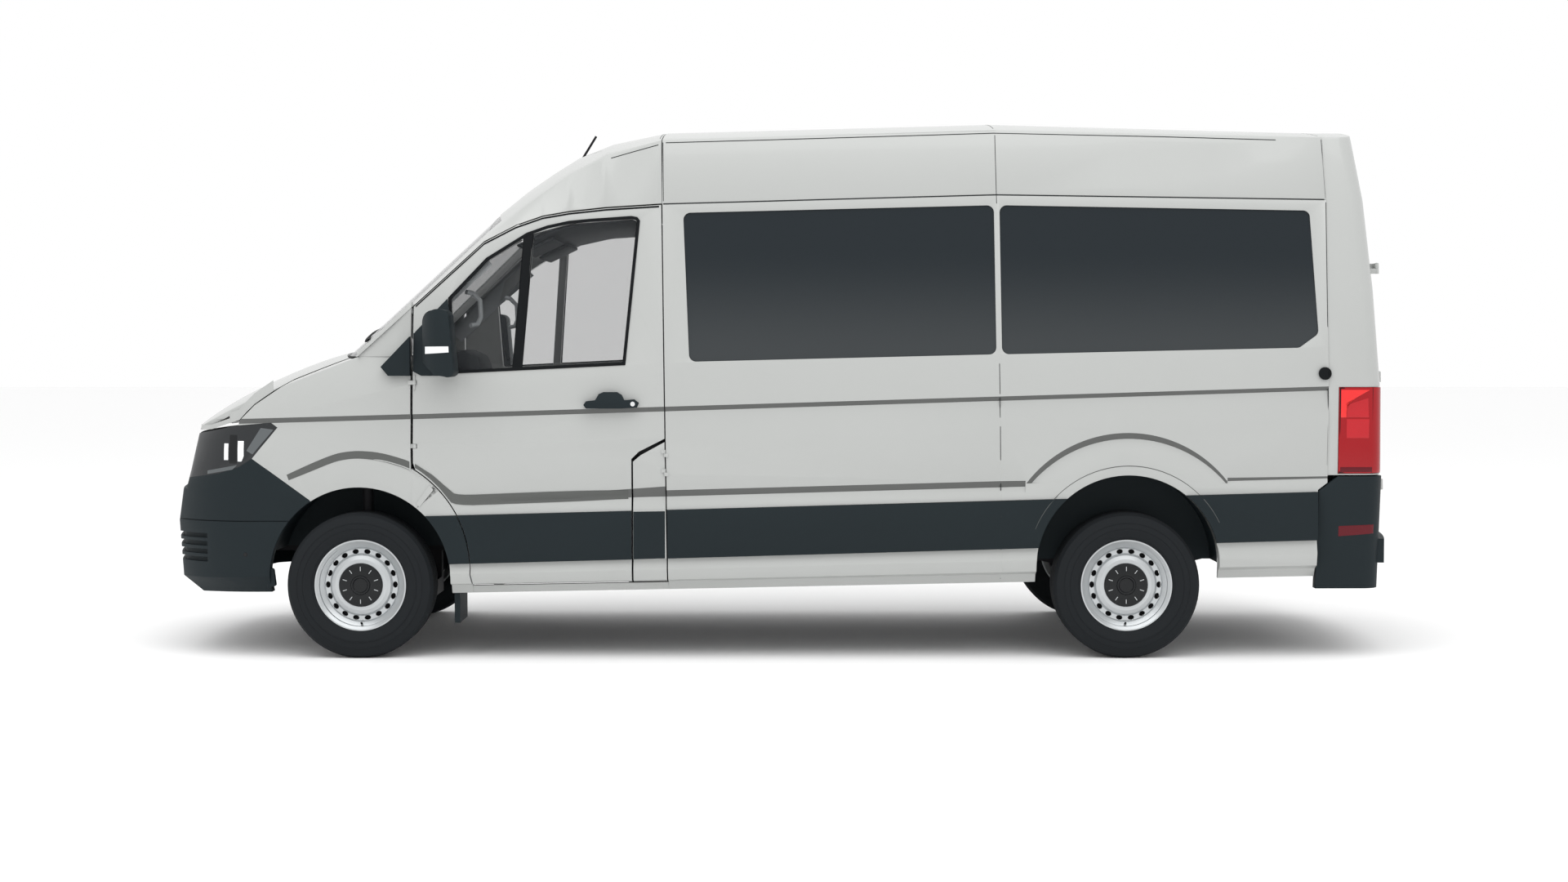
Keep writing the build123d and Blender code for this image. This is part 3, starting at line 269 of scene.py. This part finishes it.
def softened(node, material, width):
    copy = copied(node, node + "_finish")
    bpy.ops.object.mode_set(mode="EDIT")
    bpy.ops.mesh.select_all(action="SELECT")
    bpy.ops.mesh.customdata_custom_splitnormals_clear()
    bpy.ops.mesh.remove_doubles(threshold=WELD)
    bpy.ops.mesh.dissolve_limited(angle_limit=FLAT)
    bpy.ops.object.mode_set(mode="OBJECT")
    apply(copy, "BEVEL", width=width, segments=2, limit_method="ANGLE", angle_limit=SHARP)
    bpy.ops.object.shade_smooth_by_angle(angle=SMOOTH)
    dress(copy, material)
    # Paint panels are marked for painted shade on their faces turned down.
    if material == paint:
        mark_painted_shade(copy, 1.0 if node == "wings" else 0.5)
    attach(copy, body_of[node])
    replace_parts(copy, node)
    finished[node] = copy


# %% Body panels and mouldings
PANELS = ["side_left_mid", "side_left_rear", "side_right_rear", "sliding_door", "b_post_right", "roof_front",
          "roof_rear_panels", "rear_frame", "bonnet", "wings", "fuel_flap", "door_left", "door_right",
          "rear_door_left", "rear_door_right", "sills"]
MOULDINGS = ["front_bumper", "rear_bumper", "cladding", "grille", "door_trim_left", "door_trim_right"]
LAMPS = {"headlamps": lamp_smoke, "tail_lamps": red_lens}
PANEL_EDGE = 0.0025
MOULDING_EDGE = 0.003
LAMP_EDGE = 0.002
for node in PANELS:
    softened(node, paint, PANEL_EDGE)
for node in MOULDINGS:
    softened(node, plastic, MOULDING_EDGE)
for node, material in LAMPS.items():
    softened(node, material, LAMP_EDGE)
print("softened", len(finished))

# %% One joined copy of the outside, to lay pieces on
outside = [shape for node, shape in finished.items() if "door_trim" not in node]
pick(*outside, nodes["door_glass_left"], nodes["side_glass"])
bpy.ops.object.duplicate()
bpy.ops.object.join()
skin = bpy.context.object
skin.name = "skin"
print("skin faces", len(skin.data.polygons))

# %% Finishes of the nodes that stay as they are
PLAIN = {
    "windscreen": screen_tint, "door_glass_left": cab_tint, "door_glass_right": cab_tint,
    "side_glass": side_tint, "rear_glass_left": side_tint, "rear_glass_right": side_tint,
    "seats": fabric, "dashboard": trim_grey,
    "steering_wheel": gloss_black, "load_floor": board, "floor_pan": trim_grey, "a_posts": trim_grey,
    "arch_liners": plastic,
}
for node, shape in nodes.items():
    if node.startswith("tyre"):
        dress(shape, tyre_rubber)
    elif node.startswith("rim"):
        dress(shape, silver)
    elif not shape.hide_render:
        dress(shape, PLAIN.get(node, dark_steel))
print("plain finishes set")

# %% [markdown]
# ## Drawing small pieces
# A piece starts as one vertex, is drawn as a chain by extruding it, filled, laid on the panel
# that carries it with a projection, and given its thickness by one more extrusion.

# %% Chains of vertices
def begin(name, place):
    bpy.ops.object.select_all(action="DESELECT")
    bpy.ops.mesh.primitive_plane_add(size=0.01, location=(0, 0, 0))
    bpy.context.object.name = name
    bpy.ops.object.mode_set(mode="EDIT")
    bpy.ops.mesh.select_all(action="SELECT")
    bpy.ops.mesh.merge(type="CENTER")
    bpy.ops.transform.translate(value=place)
    return bpy.context.object


def push(step):
    bpy.ops.mesh.extrude_region_move(TRANSFORM_OT_translate={"value": tuple(step)})


def chain(name, points):
    obj = begin(name, points[0])
    for here, there in zip(points, points[1:]):
        push(Vector(there) - Vector(here))
    bpy.ops.mesh.select_all(action="SELECT")
    return obj


# %% Laying a drawing on the body and closing it
# Where a drawing starts for each side it is seen from, and the way it then moves to the body.
FAR = {"left": ("Y", 1.4), "above": ("Z", 3.0), "front": ("X", 3.4), "rear": ("X", -3.4), "cab": ("Y", 0.0)}
INWARD = {"left": (0, -1, 0), "above": (0, 0, -1), "front": (-1, 0, 0), "rear": (1, 0, 0), "cab": (0, 1, 0)}


def seen(view, points):
    axis, far = FAR[view]
    return [{"X": (far, u, v), "Y": (u, far, v), "Z": (u, v, far)}[axis] for u, v in points]


def lay(obj, view, lift, on=None):
    axis = FAR[view][0]
    forward = max(INWARD[view]) > 0
    bpy.ops.object.mode_set(mode="OBJECT")
    apply(obj, "SHRINKWRAP", target=on or skin, wrap_method="PROJECT", offset=lift, use_project_x=axis == "X",
          use_project_y=axis == "Y", use_project_z=axis == "Z", use_negative_direction=not forward,
          use_positive_direction=forward)
    bpy.ops.object.mode_set(mode="EDIT")
    bpy.ops.mesh.select_all(action="SELECT")


def divide(obj, levels):
    bpy.ops.object.mode_set(mode="OBJECT")
    apply(obj, "SUBSURF", subdivision_type="SIMPLE", levels=levels)
    bpy.ops.object.mode_set(mode="EDIT")
    bpy.ops.mesh.select_all(action="SELECT")


def close(obj, material, body, bevel):
    bpy.ops.mesh.select_all(action="SELECT")
    bpy.ops.mesh.normals_make_consistent(inside=False)
    bpy.ops.object.mode_set(mode="OBJECT")
    if bevel:
        apply(obj, "BEVEL", width=bevel, segments=2, limit_method="ANGLE", angle_limit=math.radians(40))
    bpy.ops.object.shade_smooth_by_angle(angle=math.radians(35))
    dress(obj, material)
    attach(obj, body)
    return obj


# %% Pieces laid on the body: plates, ribbons and bands
def plate(name, outline, material, body="body", view="left", lift=0.0005, depth=0.003, ring=0, bevel=0.0008,
          on=None, levels=3):
    obj = chain(name, seen(view, outline))
    bpy.ops.mesh.edge_face_add()
    if levels and not ring:
        divide(obj, levels)
    lay(obj, view, lift, on)
    if ring:
        bpy.ops.mesh.inset(thickness=ring)
        bpy.ops.mesh.delete(type="FACE")
        bpy.ops.mesh.select_all(action="SELECT")
    push([depth * part for part in INWARD[view]])
    return close(obj, material, body, bevel)


def ribbon(name, path, width, material, body="body", view="left", lift=0.0006, depth=0.002, on=None):
    obj = chain(name, seen(view, path))
    push(Vector(seen(view, [width])[0]) - Vector(seen(view, [(0, 0)])[0]))
    bpy.ops.mesh.select_all(action="SELECT")
    lay(obj, view, lift, on)
    push([depth * part for part in INWARD[view]])
    return close(obj, material, body, 0)


def band(name, low, high, material, body="body", view="left", lift=0.0006, depth=0.002):
    edges = []
    for part, path in ((name, low), (name + "_edge", high)):
        edges.append(chain(part, seen(view, path)))
        bpy.ops.object.mode_set(mode="OBJECT")
    pick(*edges)
    bpy.ops.object.join()
    bpy.ops.object.mode_set(mode="EDIT")
    bpy.ops.mesh.select_all(action="SELECT")
    bpy.ops.mesh.bridge_edge_loops()
    divide(edges[0], 2)
    lay(edges[0], view, lift)
    push([depth * part for part in INWARD[view]])
    return close(edges[0], material, body, 0)


# %% Free pieces, and the copy on the right side
def tube(name, points, radius, material, body="body"):
    chain(name, points)
    bpy.ops.object.mode_set(mode="OBJECT")
    bpy.ops.object.convert(target="CURVE")
    curve = bpy.context.object.data
    curve.bevel_depth = radius
    curve.bevel_resolution = 3
    curve.use_fill_caps = True
    bpy.ops.object.convert(target="MESH")
    bpy.ops.object.mode_set(mode="EDIT")
    return close(bpy.context.object, material, body, 0)


def slab(name, profile, y0, y1, material, bevel=0.006):
    obj = chain(name, [(x, y0, z) for x, z in profile])
    bpy.ops.mesh.edge_face_add()
    push((0, y1 - y0, 0))
    return close(obj, material, "body", bevel)


def twin(obj, body="body"):
    pick(obj)
    bpy.ops.object.duplicate()
    copy = bpy.context.object
    copy.name = obj.name + "_right"
    bpy.ops.object.mode_set(mode="EDIT")
    bpy.ops.mesh.select_all(action="SELECT")
    bpy.ops.transform.resize(value=(1, -1, 1), center_override=(0, 0, 0))
    bpy.ops.mesh.flip_normals()
    bpy.ops.object.mode_set(mode="OBJECT")
    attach(copy, body)
    return copy


# %% Outlines
def disc(centre, radius, steps=24):
    return [(centre[0] + radius * math.cos(2 * math.pi * i / steps),
             centre[1] + radius * math.sin(2 * math.pi * i / steps)) for i in range(steps)]


def oblong(u0, u1, v0, v1):
    return [(u0, v0), (u1, v0), (u1, v1), (u0, v1)]


def between(first, second, share):
    return tuple(a + (b - a) * share for a, b in zip(first, second))


def stepped(corners, steps=8):
    """The same outline with points along its sides."""
    return [between(first, second, i / steps)
            for first, second in zip(corners, corners[1:] + corners[:1]) for i in range(steps)]


def eased(points, cuts=2):
    """The same path with its corners cut."""
    for _ in range(cuts):
        cut = [points[0]]
        for first, second in zip(points, points[1:]):
            cut += [between(first, second, 0.25), between(first, second, 0.75)]
        points = cut + [points[-1]]
    return points


# %% [markdown]
# ## Seams and seals
# Fixed panels meet without a gap in the model; the sealed joints show as thin dark lines.
# The door window has a black frame and a black bar between its two panes.

# %% Panel seams on both sides
UPRIGHT = (0.003, 0)
GUTTER = (0, 0.006)
FOLD = (0, 0.004)
SEAMS = [
    ("seam_mid_low", [(-1.0495, 0.378), (-1.0475, 0.52), (-1.0462, 0.68)], UPRIGHT),
    ("seam_mid", [(-1.0445, 0.80), (-1.042, 0.96), (-1.04, 1.1), (-1.0385, 1.19), (-1.0375, 1.26),
                  (-1.0355, 1.40)], UPRIGHT),
    ("seam_mid_roof", [(-1.0242, 2.155), (-1.0234, 2.20), (-1.0192, 2.48)], UPRIGHT),
    ("seam_front_roof", [(0.548, 2.165), (0.550, 2.30), (0.552, 2.445)], UPRIGHT),
    ("seam_rear", [(-2.584, 0.92), (-2.584, 1.10), (-2.584, 1.28), (-2.582, 1.6), (-2.579, 2.16)], UPRIGHT),
    ("seam_rear_roof", [(-2.5785, 2.18), (-2.5680, 2.46)], UPRIGHT),
    ("gutter", [(0.55, 2.149), (0.1, 2.161), (-0.5, 2.178), (-1.02, 2.192), (-1.8, 2.181), (-2.57, 2.170)],
     GUTTER),
    # The two roof crease ribbons are painted shade of the fold at the roof's edge.
    ("roof_crease", [(0.54, 2.442), (0.1, 2.454), (-1.01, 2.487), (-1.8, 2.471), (-2.35, 2.456)], FOLD),
    ("roof_crease_front", [(0.80, 2.370), (0.70, 2.398), (0.575, 2.432)], FOLD),
]
ROOF_SEAMS = {"roof_seam_front": 0.570, "roof_seam_mid": -1.019, "roof_seam_rear": -2.567}
for name, path, width in SEAMS:
    twin(ribbon(name, path, width, seam_dark))
for name, x in ROOF_SEAMS.items():
    ribbon(name, [(x, y / 10) for y in range(-8, 9)], UPRIGHT, seam_dark, view="above")
print("seams", len(SEAMS) + len(ROOF_SEAMS))

# %% Painted shade of the pressed line over the front wheel, on the wing and on along the door
WING_LOW = [(2.328, 0.846), (2.221, 0.888), (2.110, 0.934), (2.050, 0.947), (1.987, 0.952), (1.887, 0.941),
            (1.776, 0.908), (1.748, 0.896)]
WING_HIGH = [(2.338, 0.872), (2.221, 0.926), (2.110, 0.971), (2.050, 0.983), (1.987, 0.988), (1.887, 0.980),
             (1.776, 0.949), (1.748, 0.937)]
DOOR_LOW = [(1.722, 0.908), (1.700, 0.894), (1.670, 0.871), (1.645, 0.850), (1.620, 0.825), (1.600, 0.804),
            (1.574, 0.771), (1.540, 0.728), (1.298, 0.737), (0.988, 0.748), (0.755, 0.760), (0.715, 0.761)]
DOOR_HIGH = [(1.722, 0.926), (1.700, 0.913), (1.670, 0.893), (1.639, 0.874), (1.613, 0.851), (1.588, 0.828),
             (1.557, 0.802), (1.527, 0.777), (1.298, 0.787), (0.988, 0.799), (0.755, 0.803), (0.715, 0.803)]
twin(band("wing_line_shade", eased(WING_LOW), eased(WING_HIGH), crease_shade_paint))
twin(band("door_line_shade_left", eased(DOOR_LOW), eased(DOOR_HIGH), crease_shade_paint, "door_left", lift=0.002), "door_right")
print("pressed lines")

# %% Painted shade along the lip of the rear wheel arch
ARCH_Z = 0.439
LIP_RADIUS = 0.476
turns = [math.radians(degrees) for degrees in range(22, 158, 4)]
lip = [(WHEEL_X["rear"] + LIP_RADIUS * math.cos(turn), ARCH_Z + LIP_RADIUS * math.sin(turn))
       for turn in turns]
twin(ribbon("arch_lip_shade_rear", lip, FOLD, crease_shade_paint, lift=0.0004))
print("arch lip")

# %% Door window frame, divider, mirror foot and the strip over the door
WINDOW = [(1.542, 1.352), (0.727, 1.392), (0.660, 2.074), (0.672, 2.090), (0.700, 2.096), (0.900, 2.083),
          (0.997, 2.074), (1.100, 2.052), (1.198, 2.018), (1.390, 1.899), (1.568, 1.711)]
DIVIDER = [(1.262, 1.370), (1.214, 1.372), (1.164, 2.022), (1.214, 1.996)]
STRIP = [(0.570, 2.136), (0.824, 2.121), (0.997, 2.103), (1.122, 2.082), (1.250, 2.038), (1.400, 1.961),
         (1.560, 1.814), (1.722, 1.665)]
FOOT_EDGE = [(1.7215, 1.362), (1.7215, 1.410), (1.7215, 1.450), (1.7215, 1.500), (1.7215, 1.543)]
for part in (
    plate("door_window_frame_left", WINDOW, rubber, "door_left", lift=0.003, depth=0.012, ring=0.015),
    ribbon("mirror_foot_edge_left", FOOT_EDGE, (0.0085, 0), plastic, "door_left", lift=0.002,
           on=finished["door_left"]),
    plate("door_divider_left", DIVIDER, rubber, "door_left", lift=0.002, depth=0.010),
    ribbon("door_top_strip_left", STRIP, (0, 0.008), rubber, "door_left", lift=0.001),
):
    twin(part, "door_right")
print("door seals")

# %% [markdown]
# ## Low on the body
# The front bumper turns in at its rear end, and the fuel flap carries a piece of the lower cladding.
# On the right a fixed panel stands where the flap is on the left. A dark strip lies behind the gaps
# of the sill, and a patch covers the end of a groove at the wing's tail.

# %% Bumper end, flap cladding and the fixed panel on the right
RETURN = [(2.402, 0.34), (2.445, 0.325), (2.445, 0.43), (2.412, 0.42)]
twin(slab("bumper_return", RETURN, 0.874, 0.902, plastic))
FLAP_CLAD = [(0.6908, 0.702), (0.5412, 0.7045), (0.5412, 0.481), (0.6908, 0.4765)]
flap = finished["fuel_flap"]
twin(plate("flap_clad", FLAP_CLAD, plastic, "fuel_flap", lift=0.002, depth=0.003, on=flap))
panel = twin(flap)
panel.name = "b_post_panel_right"
del panel["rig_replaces"]
print("bumper end, flap cladding and right panel")

# %% Backing of the sill gaps and the wing's tail
twin(slab("sill_backing", oblong(0.50, 0.72, 0.34, 0.47), 0.900, 0.904, plastic))
WING_TAIL = [(1.655, 0.826), (1.636, 0.803), (1.703, 0.722), (1.718, 0.738)]
twin(plate("wing_tail", WING_TAIL, paint, lift=0.004, depth=0.006, bevel=0, levels=0))
print("sill backing and wing tail")

# %% [markdown]
# ## Lamps
# On the smoked headlamp lie two bright bars, a dark block, a grey turn signal and a grey foot.
# The tail lamp has a bright upper part, two fields of cells and a darker foot.

# %% Lamp details
BAR_REAR = [(2.574, 1.032), (2.543, 1.032), (2.543, 0.960), (2.554, 0.934), (2.574, 0.934)]
TURN = [(2.462, 1.094), (2.400, 1.086), (2.500, 0.968), (2.530, 0.986)]
FOOT = [(2.735, 0.888), (2.575, 0.918), (2.600, 0.895), (2.735, 0.871)]
BRIGHT = [(-2.643, 1.276), (-2.780, 1.276), (-2.669, 1.214), (-2.669, 1.146), (-2.643, 1.146)]
CELLS_TOP = [(-2.671, 1.205), (-2.772, 1.238), (-2.776, 1.146), (-2.671, 1.146)]
REFLECTOR = [(-2.645, 0.631), (-2.815, 0.638), (-2.815, 0.594), (-2.645, 0.581)]
LAMP_PARTS = [
    ("lamp_bar_front", oblong(2.645, 2.622, 1.019, 0.940), lamp_white),
    ("lamp_bar_rear", BAR_REAR, lamp_white),
    ("lamp_block", oblong(2.618, 2.578, 1.060, 0.924), gloss_black),
    ("lamp_turn", TURN, lamp_grey),
    ("lamp_foot", FOOT, lamp_grey),
    ("tail_bright", BRIGHT, red_light),
    ("tail_cells_top", CELLS_TOP, red_cells),
    ("tail_cells", oblong(-2.671, -2.778, 1.138, 1.048), red_cells),
    ("tail_foot", oblong(-2.643, -2.796, 0.912, 0.888), red_deep),
    ("reflector", REFLECTOR, red_deep),
]
for name, outline, material in LAMP_PARTS:
    twin(plate(name, outline, material, lift=0.001, depth=0.004, bevel=0.0015))
TAIL_EDGE = oblong(-2.637, -2.796, 1.287, 0.883)
twin(plate("tail_edge", TAIL_EDGE, rubber, lift=0.0015, depth=0.004, ring=0.005))
print("lamp parts", len(LAMP_PARTS))

# %% [markdown]
# ## Fittings
# Thin flanges close the slit under the bonnet's side edges. The small things on the outside follow:
# door stop, sensor, key, turn signal, blank plates, rear seals, rear handle and wiper blades.

# %% Flanges under the bonnet's side edges
BELOW = 0.020
TUCK = 0.004


def flange(name, path, height):
    """A strip under the bonnet's edge, placed by the panel just below it."""
    obj = chain(name, seen("left", [(x, z - BELOW) for x, z in path]))
    lay(obj, "left", -TUCK)
    bpy.ops.transform.translate(value=(0, 0, BELOW + TUCK))
    push((0, 0, height))
    bpy.ops.mesh.select_all(action="SELECT")
    push((0, -0.003, 0))
    return close(obj, paint, "bonnet", 0)


BACK_EDGE = [(2.400, 1.266), (2.440, 1.239), (2.491, 1.204), (2.530, 1.166), (2.568, 1.128), (2.620, 1.1116)]
FRONT_EDGE = [(2.615, 1.1132), (2.660, 1.099), (2.720, 1.080), (2.780, 1.0755), (2.840, 1.071),
              (2.880, 1.068)]
twin(flange("bonnet_flange_back", BACK_EDGE, 0.050), "bonnet")
twin(flange("bonnet_flange_front", FRONT_EDGE, 0.022), "bonnet")
print("bonnet flanges")

# %% Door stop, sensor, key and mirror turn signal
twin(plate("door_stop", disc((-2.5663, 1.3533), 0.030), rubber, lift=0.011, depth=0.013, bevel=0.004))
twin(plate("bumper_sensor", disc((2.54, 0.492), 0.010, 16), gloss_black, lift=0.002, depth=0.004))
SIGNAL = [(1.645, 1.480), (1.600, 1.4805), (1.560, 1.481), (1.528, 1.481), (1.527, 1.4535), (1.560, 1.4515),
          (1.600, 1.4490), (1.645, 1.446)]
trim = finished["door_trim_left"]
KEY = disc((0.6905, 1.2106), 0.011, 16)
for part in (
    plate("mirror_signal_left", SIGNAL, lamp_white, "door_left", lift=0.004, depth=0.006, on=trim),
    plate("door_key_left", KEY, chrome, "door_left", lift=0.002, depth=0.004, on=trim),
):
    twin(part, "door_right")
print("small fittings")

# %% Blank plates, rear window seals and the rear handle
plate("front_plate", oblong(-0.26, 0.26, 0.50, 0.61), lamp_white, view="front", lift=0.016, depth=0.018,
      bevel=0.002, levels=0)
REAR_PANE = [(0.118, 1.428), (0.702, 1.428), (0.682, 2.132), (0.118, 2.132)]
seal = plate("rear_seal_left", stepped(REAR_PANE), rubber, "rear_door_left", "rear", lift=0.002, depth=0.008,
             ring=0.014)
twin(seal, "rear_door_right")
plate("rear_handle", oblong(-0.030, -0.160, 1.02, 1.10), plastic, "rear_door_right", "rear", lift=0.018,
      depth=0.022, bevel=0.006)
plate("rear_plate", oblong(-0.68, -0.16, 0.86, 0.97), lamp_white, "rear_door_right", "rear", lift=0.005,
      depth=0.007, bevel=0.002)
print("plates and rear fittings")

# %% Wiper blades
WIPERS = {"wiper_left": 0.68, "wiper_right": -0.06}
for name, far in WIPERS.items():
    blade = [(far - 0.06 * i, 1.500 + 0.006 * i) for i in range(11)]
    ribbon(name, blade, (0, 0.016), rubber, view="front", lift=0.014, depth=0.012, on=nodes["windscreen"])
print("wiper blades", len(WIPERS))

# %% [markdown]
# ## Wheels
# Steel wheels carry a black cap with ten small slots round a raised boss, and a valve at the rim.
# Caps, brakes, the four ribs of the tread and the ribs of the tyre wall are sections turned about
# the wheel's axis.

# %% Turned rings
def turned(name, profile, x, material, steps=96):
    first = None
    for ring in profile:
        obj = chain(name, [(x, y, WHEEL_Z + r) for r, y in ring])
        bpy.ops.mesh.edge_face_add()
        bpy.ops.mesh.spin(steps=steps, angle=2 * math.pi, center=(x, 0, WHEEL_Z), axis=(0, 1, 0))
        bpy.ops.mesh.select_all(action="SELECT")
        bpy.ops.mesh.remove_doubles(threshold=0.00001)
        bpy.ops.mesh.normals_make_consistent(inside=False)
        bpy.ops.object.mode_set(mode="OBJECT")
        if first:
            pick(first, obj)
            bpy.ops.object.join()
        first = first or obj
    pick(first)
    bpy.ops.object.shade_smooth_by_angle(angle=math.radians(35))
    dress(first, material)
    return first


# %% Slots round the cap
SLOT = [(0.0015, 0.068), (0.0015, 0.088), (-0.0015, 0.088), (-0.0015, 0.068)]
SLOT_COUNT = 10
SLOT_FACE = 0.9390


def cap_slots(end, x):
    marks = []
    for i in range(SLOT_COUNT):
        turn = math.radians(360 / SLOT_COUNT * i)
        side, up = math.cos(turn), math.sin(turn)
        corners = [(x + u * side + v * up, SLOT_FACE, WHEEL_Z - u * up + v * side) for u, v in SLOT]
        marks.append(chain(f"cap_slots_{end}", corners))
        bpy.ops.mesh.edge_face_add()
        push((0, -0.004, 0))
        bpy.ops.object.mode_set(mode="OBJECT")
    pick(*marks)
    bpy.ops.object.join()
    dress(marks[0], silver)
    return marks[0]


# %% Caps, brakes, tread, ribs and valve for the left wheels, then their twins
CAP = [[(0.0, 0.930), (0.0, 0.9385), (0.032, 0.9385), (0.037, 0.9440), (0.043, 0.9440), (0.047, 0.9385),
        (0.090, 0.9365), (0.101, 0.9335), (0.1045, 0.928), (0.1045, 0.925)]]
TREAD = [[(0.3445, WHEEL_Y + a), (0.3475, WHEEL_Y + a), (0.3475, WHEEL_Y + b), (0.3445, WHEEL_Y + b)]
         for a, b in ((-0.070, -0.041), (-0.034, -0.004), (0.004, 0.034), (0.041, 0.070))]
# The brake ring is a real part; its near-black steel is also painted shade behind the wheel's holes.
BRAKE = [[(0.070, 0.872), (0.172, 0.872), (0.172, 0.848), (0.070, 0.848)]]
WALL_RIBS = [[(r, 0.9685), (r + 0.002, 0.9712), (r + 0.004, 0.9685)] for r in (0.268, 0.296)]
for end, x in WHEEL_X.items():
    made = [
        turned("cap_" + end, CAP, x, gloss_black, steps=64),
        turned("brake_" + end, BRAKE, x, dark_steel),
        turned("tread_" + end, TREAD, x, tyre_rubber),
        turned("wall_ribs_" + end, WALL_RIBS, x, tyre_rubber),
        cap_slots(end, x),
    ]
    for piece in made:
        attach(piece, f"wheel_{end}_left")
        twin(piece, f"wheel_{end}_right")
    stem = [(x, 0.885, 0.158), (x, 0.905, 0.160), (x, 0.922, 0.164)]
    twin(tube("valve_" + end, stem, 0.005, rubber, f"wheel_{end}_left"), f"wheel_{end}_right")
print("wheel details")

# %% [markdown]
# ## Cab
# Through the door windows the lining under the roof, the covers of the screen pillars, their grab
# handles and the hood of the dials can be seen.

# %% Cab lining and handles
LINING = [(0.60, 2.095), (0.90, 2.082), (1.10, 2.040), (1.26, 1.965), (1.25, 1.950), (1.09, 2.024),
          (0.90, 2.066), (0.60, 2.079)]
slab("headlining", LINING, -0.80, 0.80, trim_grey)
VISOR = [(1.10, 2.012), (1.25, 1.940), (1.243, 1.925), (1.093, 1.997)]
for name, y0, y1 in (("visor_left", 0.12, 0.66), ("visor_right", -0.66, -0.12)):
    slab(name, VISOR, y0, y1, trim_grey)
HOOD = [(1.44, 1.34), (1.47, 1.43), (1.54, 1.462), (1.64, 1.455), (1.76, 1.40), (1.76, 1.34)]
slab("dial_hood", HOOD, 0.20, 0.60, trim_grey, bevel=0.02)
GRAB = [(1.50, 0.800, 1.74), (1.475, 0.770, 1.735), (1.44, 0.765, 1.70), (1.435, 0.765, 1.62),
        (1.45, 0.770, 1.585), (1.48, 0.800, 1.58)]
twin(tube("grab_handle", GRAB, 0.012, trim_light))
PILLAR = [(1.76, 1.50), (1.66, 1.59), (1.56, 1.685), (1.46, 1.775), (1.36, 1.865)]
twin(ribbon("pillar_cover", PILLAR, (0.06, 0.06), trim_light, view="cab", lift=0.004, depth=0.003))
print("cab pieces")

# %% [markdown]
# ## Seats
# The seats are stuffed: a copy of the node is remeshed, drawn in a little, blown up as cloth with a
# cap on how far each point may go, and held still at its base. Sewn lines follow on top.

# %% Stuffed seats
SWELL = 0.024
PAD_GRAIN = 0.012
PRESSURE = 4
CLOTH_FRAMES = 20
BASE_TOP = 0.69
pads = copied("seats", "seat_pads")
apply(pads, "REMESH", mode="VOXEL", voxel_size=PAD_GRAIN)
apply(pads, "DISPLACE", strength=-PAD_GRAIN, mid_level=0)
start = [point.co.copy() for point in pads.data.vertices]
cloth = pads.modifiers.new("cloth", "CLOTH")
cloth.settings.use_pressure = True
cloth.settings.uniform_pressure_force = PRESSURE
cloth.settings.effector_weights.gravity = 0
for step in range(1, CLOTH_FRAMES + 1):
    bpy.context.scene.frame_set(step)
bpy.ops.object.modifier_apply(modifier="cloth")
bpy.context.scene.frame_set(1)
for point, old in zip(pads.data.vertices, start):
    move = point.co - old
    if move.length > SWELL:
        point.co = old + move * (SWELL / move.length)
    if old.z < BASE_TOP:
        point.co = old
bpy.ops.object.shade_smooth()
dress(pads, fabric)
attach(pads, "body")
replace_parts(pads, "seats")
print("seat faces", len(pads.data.polygons))

# %% Sewn lines on the seats
SEWN = {"driver_low": 0.31, "driver_high": 0.57, "bench_low": -0.58, "bench_mid": -0.33, "bench_high": -0.08}
for name, y in SEWN.items():
    path = [(x / 1000, y) for x in range(640, 1000, 24)]
    ribbon("seat_line_" + name, path, (0, 0.005), seam_dark, view="above", lift=0.0008, on=pads)
print("sewn lines")

# %% [markdown]
# ## Camera, floor and light
# The van was photographed from about eleven metres off its left side, at the height of the mirrors,
# on a white ground with broad soft light.

# %% Floor and surroundings
bpy.ops.mesh.primitive_plane_add(size=120, location=(0, 0, 0))
floor = bpy.context.object
floor.name = "studio_floor"
dress(floor, finish("studio_white", (0.97, 0.97, 0.97), 0.9, bump=0.0, drift=0.0))
world = bpy.data.worlds.new("studio")
bpy.context.scene.world = world
world.use_nodes = True
world.node_tree.nodes["Background"].inputs["Color"].default_value = (1, 1, 1, 1)
world.node_tree.nodes["Background"].inputs["Strength"].default_value = 1.0
print("floor and surroundings")

# %% One broad lamp over the van
LAMP_PLACE = Vector((0, 4.0, 9.0))
LAMP_POWER = 620
bpy.ops.object.light_add(type="AREA", location=LAMP_PLACE)
overhead = bpy.context.object
overhead.name = "overhead"
overhead.data.shape = "RECTANGLE"
overhead.data.size, overhead.data.size_y = 14, 9
overhead.data.energy = LAMP_POWER
overhead.rotation_euler = (-LAMP_PLACE).to_track_quat("-Z", "Y").to_euler()
print("lamp", overhead.name)

# %% Camera off the left side
CAMERA_PLACE = (-0.02, 11.93, 1.52)
CAMERA_TILT = math.radians(87.46)
LENS = 53.3
bpy.ops.object.camera_add(location=CAMERA_PLACE, rotation=(CAMERA_TILT, 0, math.radians(180)))
camera = bpy.context.object
camera.data.lens = LENS
camera.data.sensor_width = 36
bpy.context.scene.camera = camera
bpy.context.scene.view_settings.view_transform = "Standard"
print("camera set")

pick(skin)
bpy.ops.object.delete()
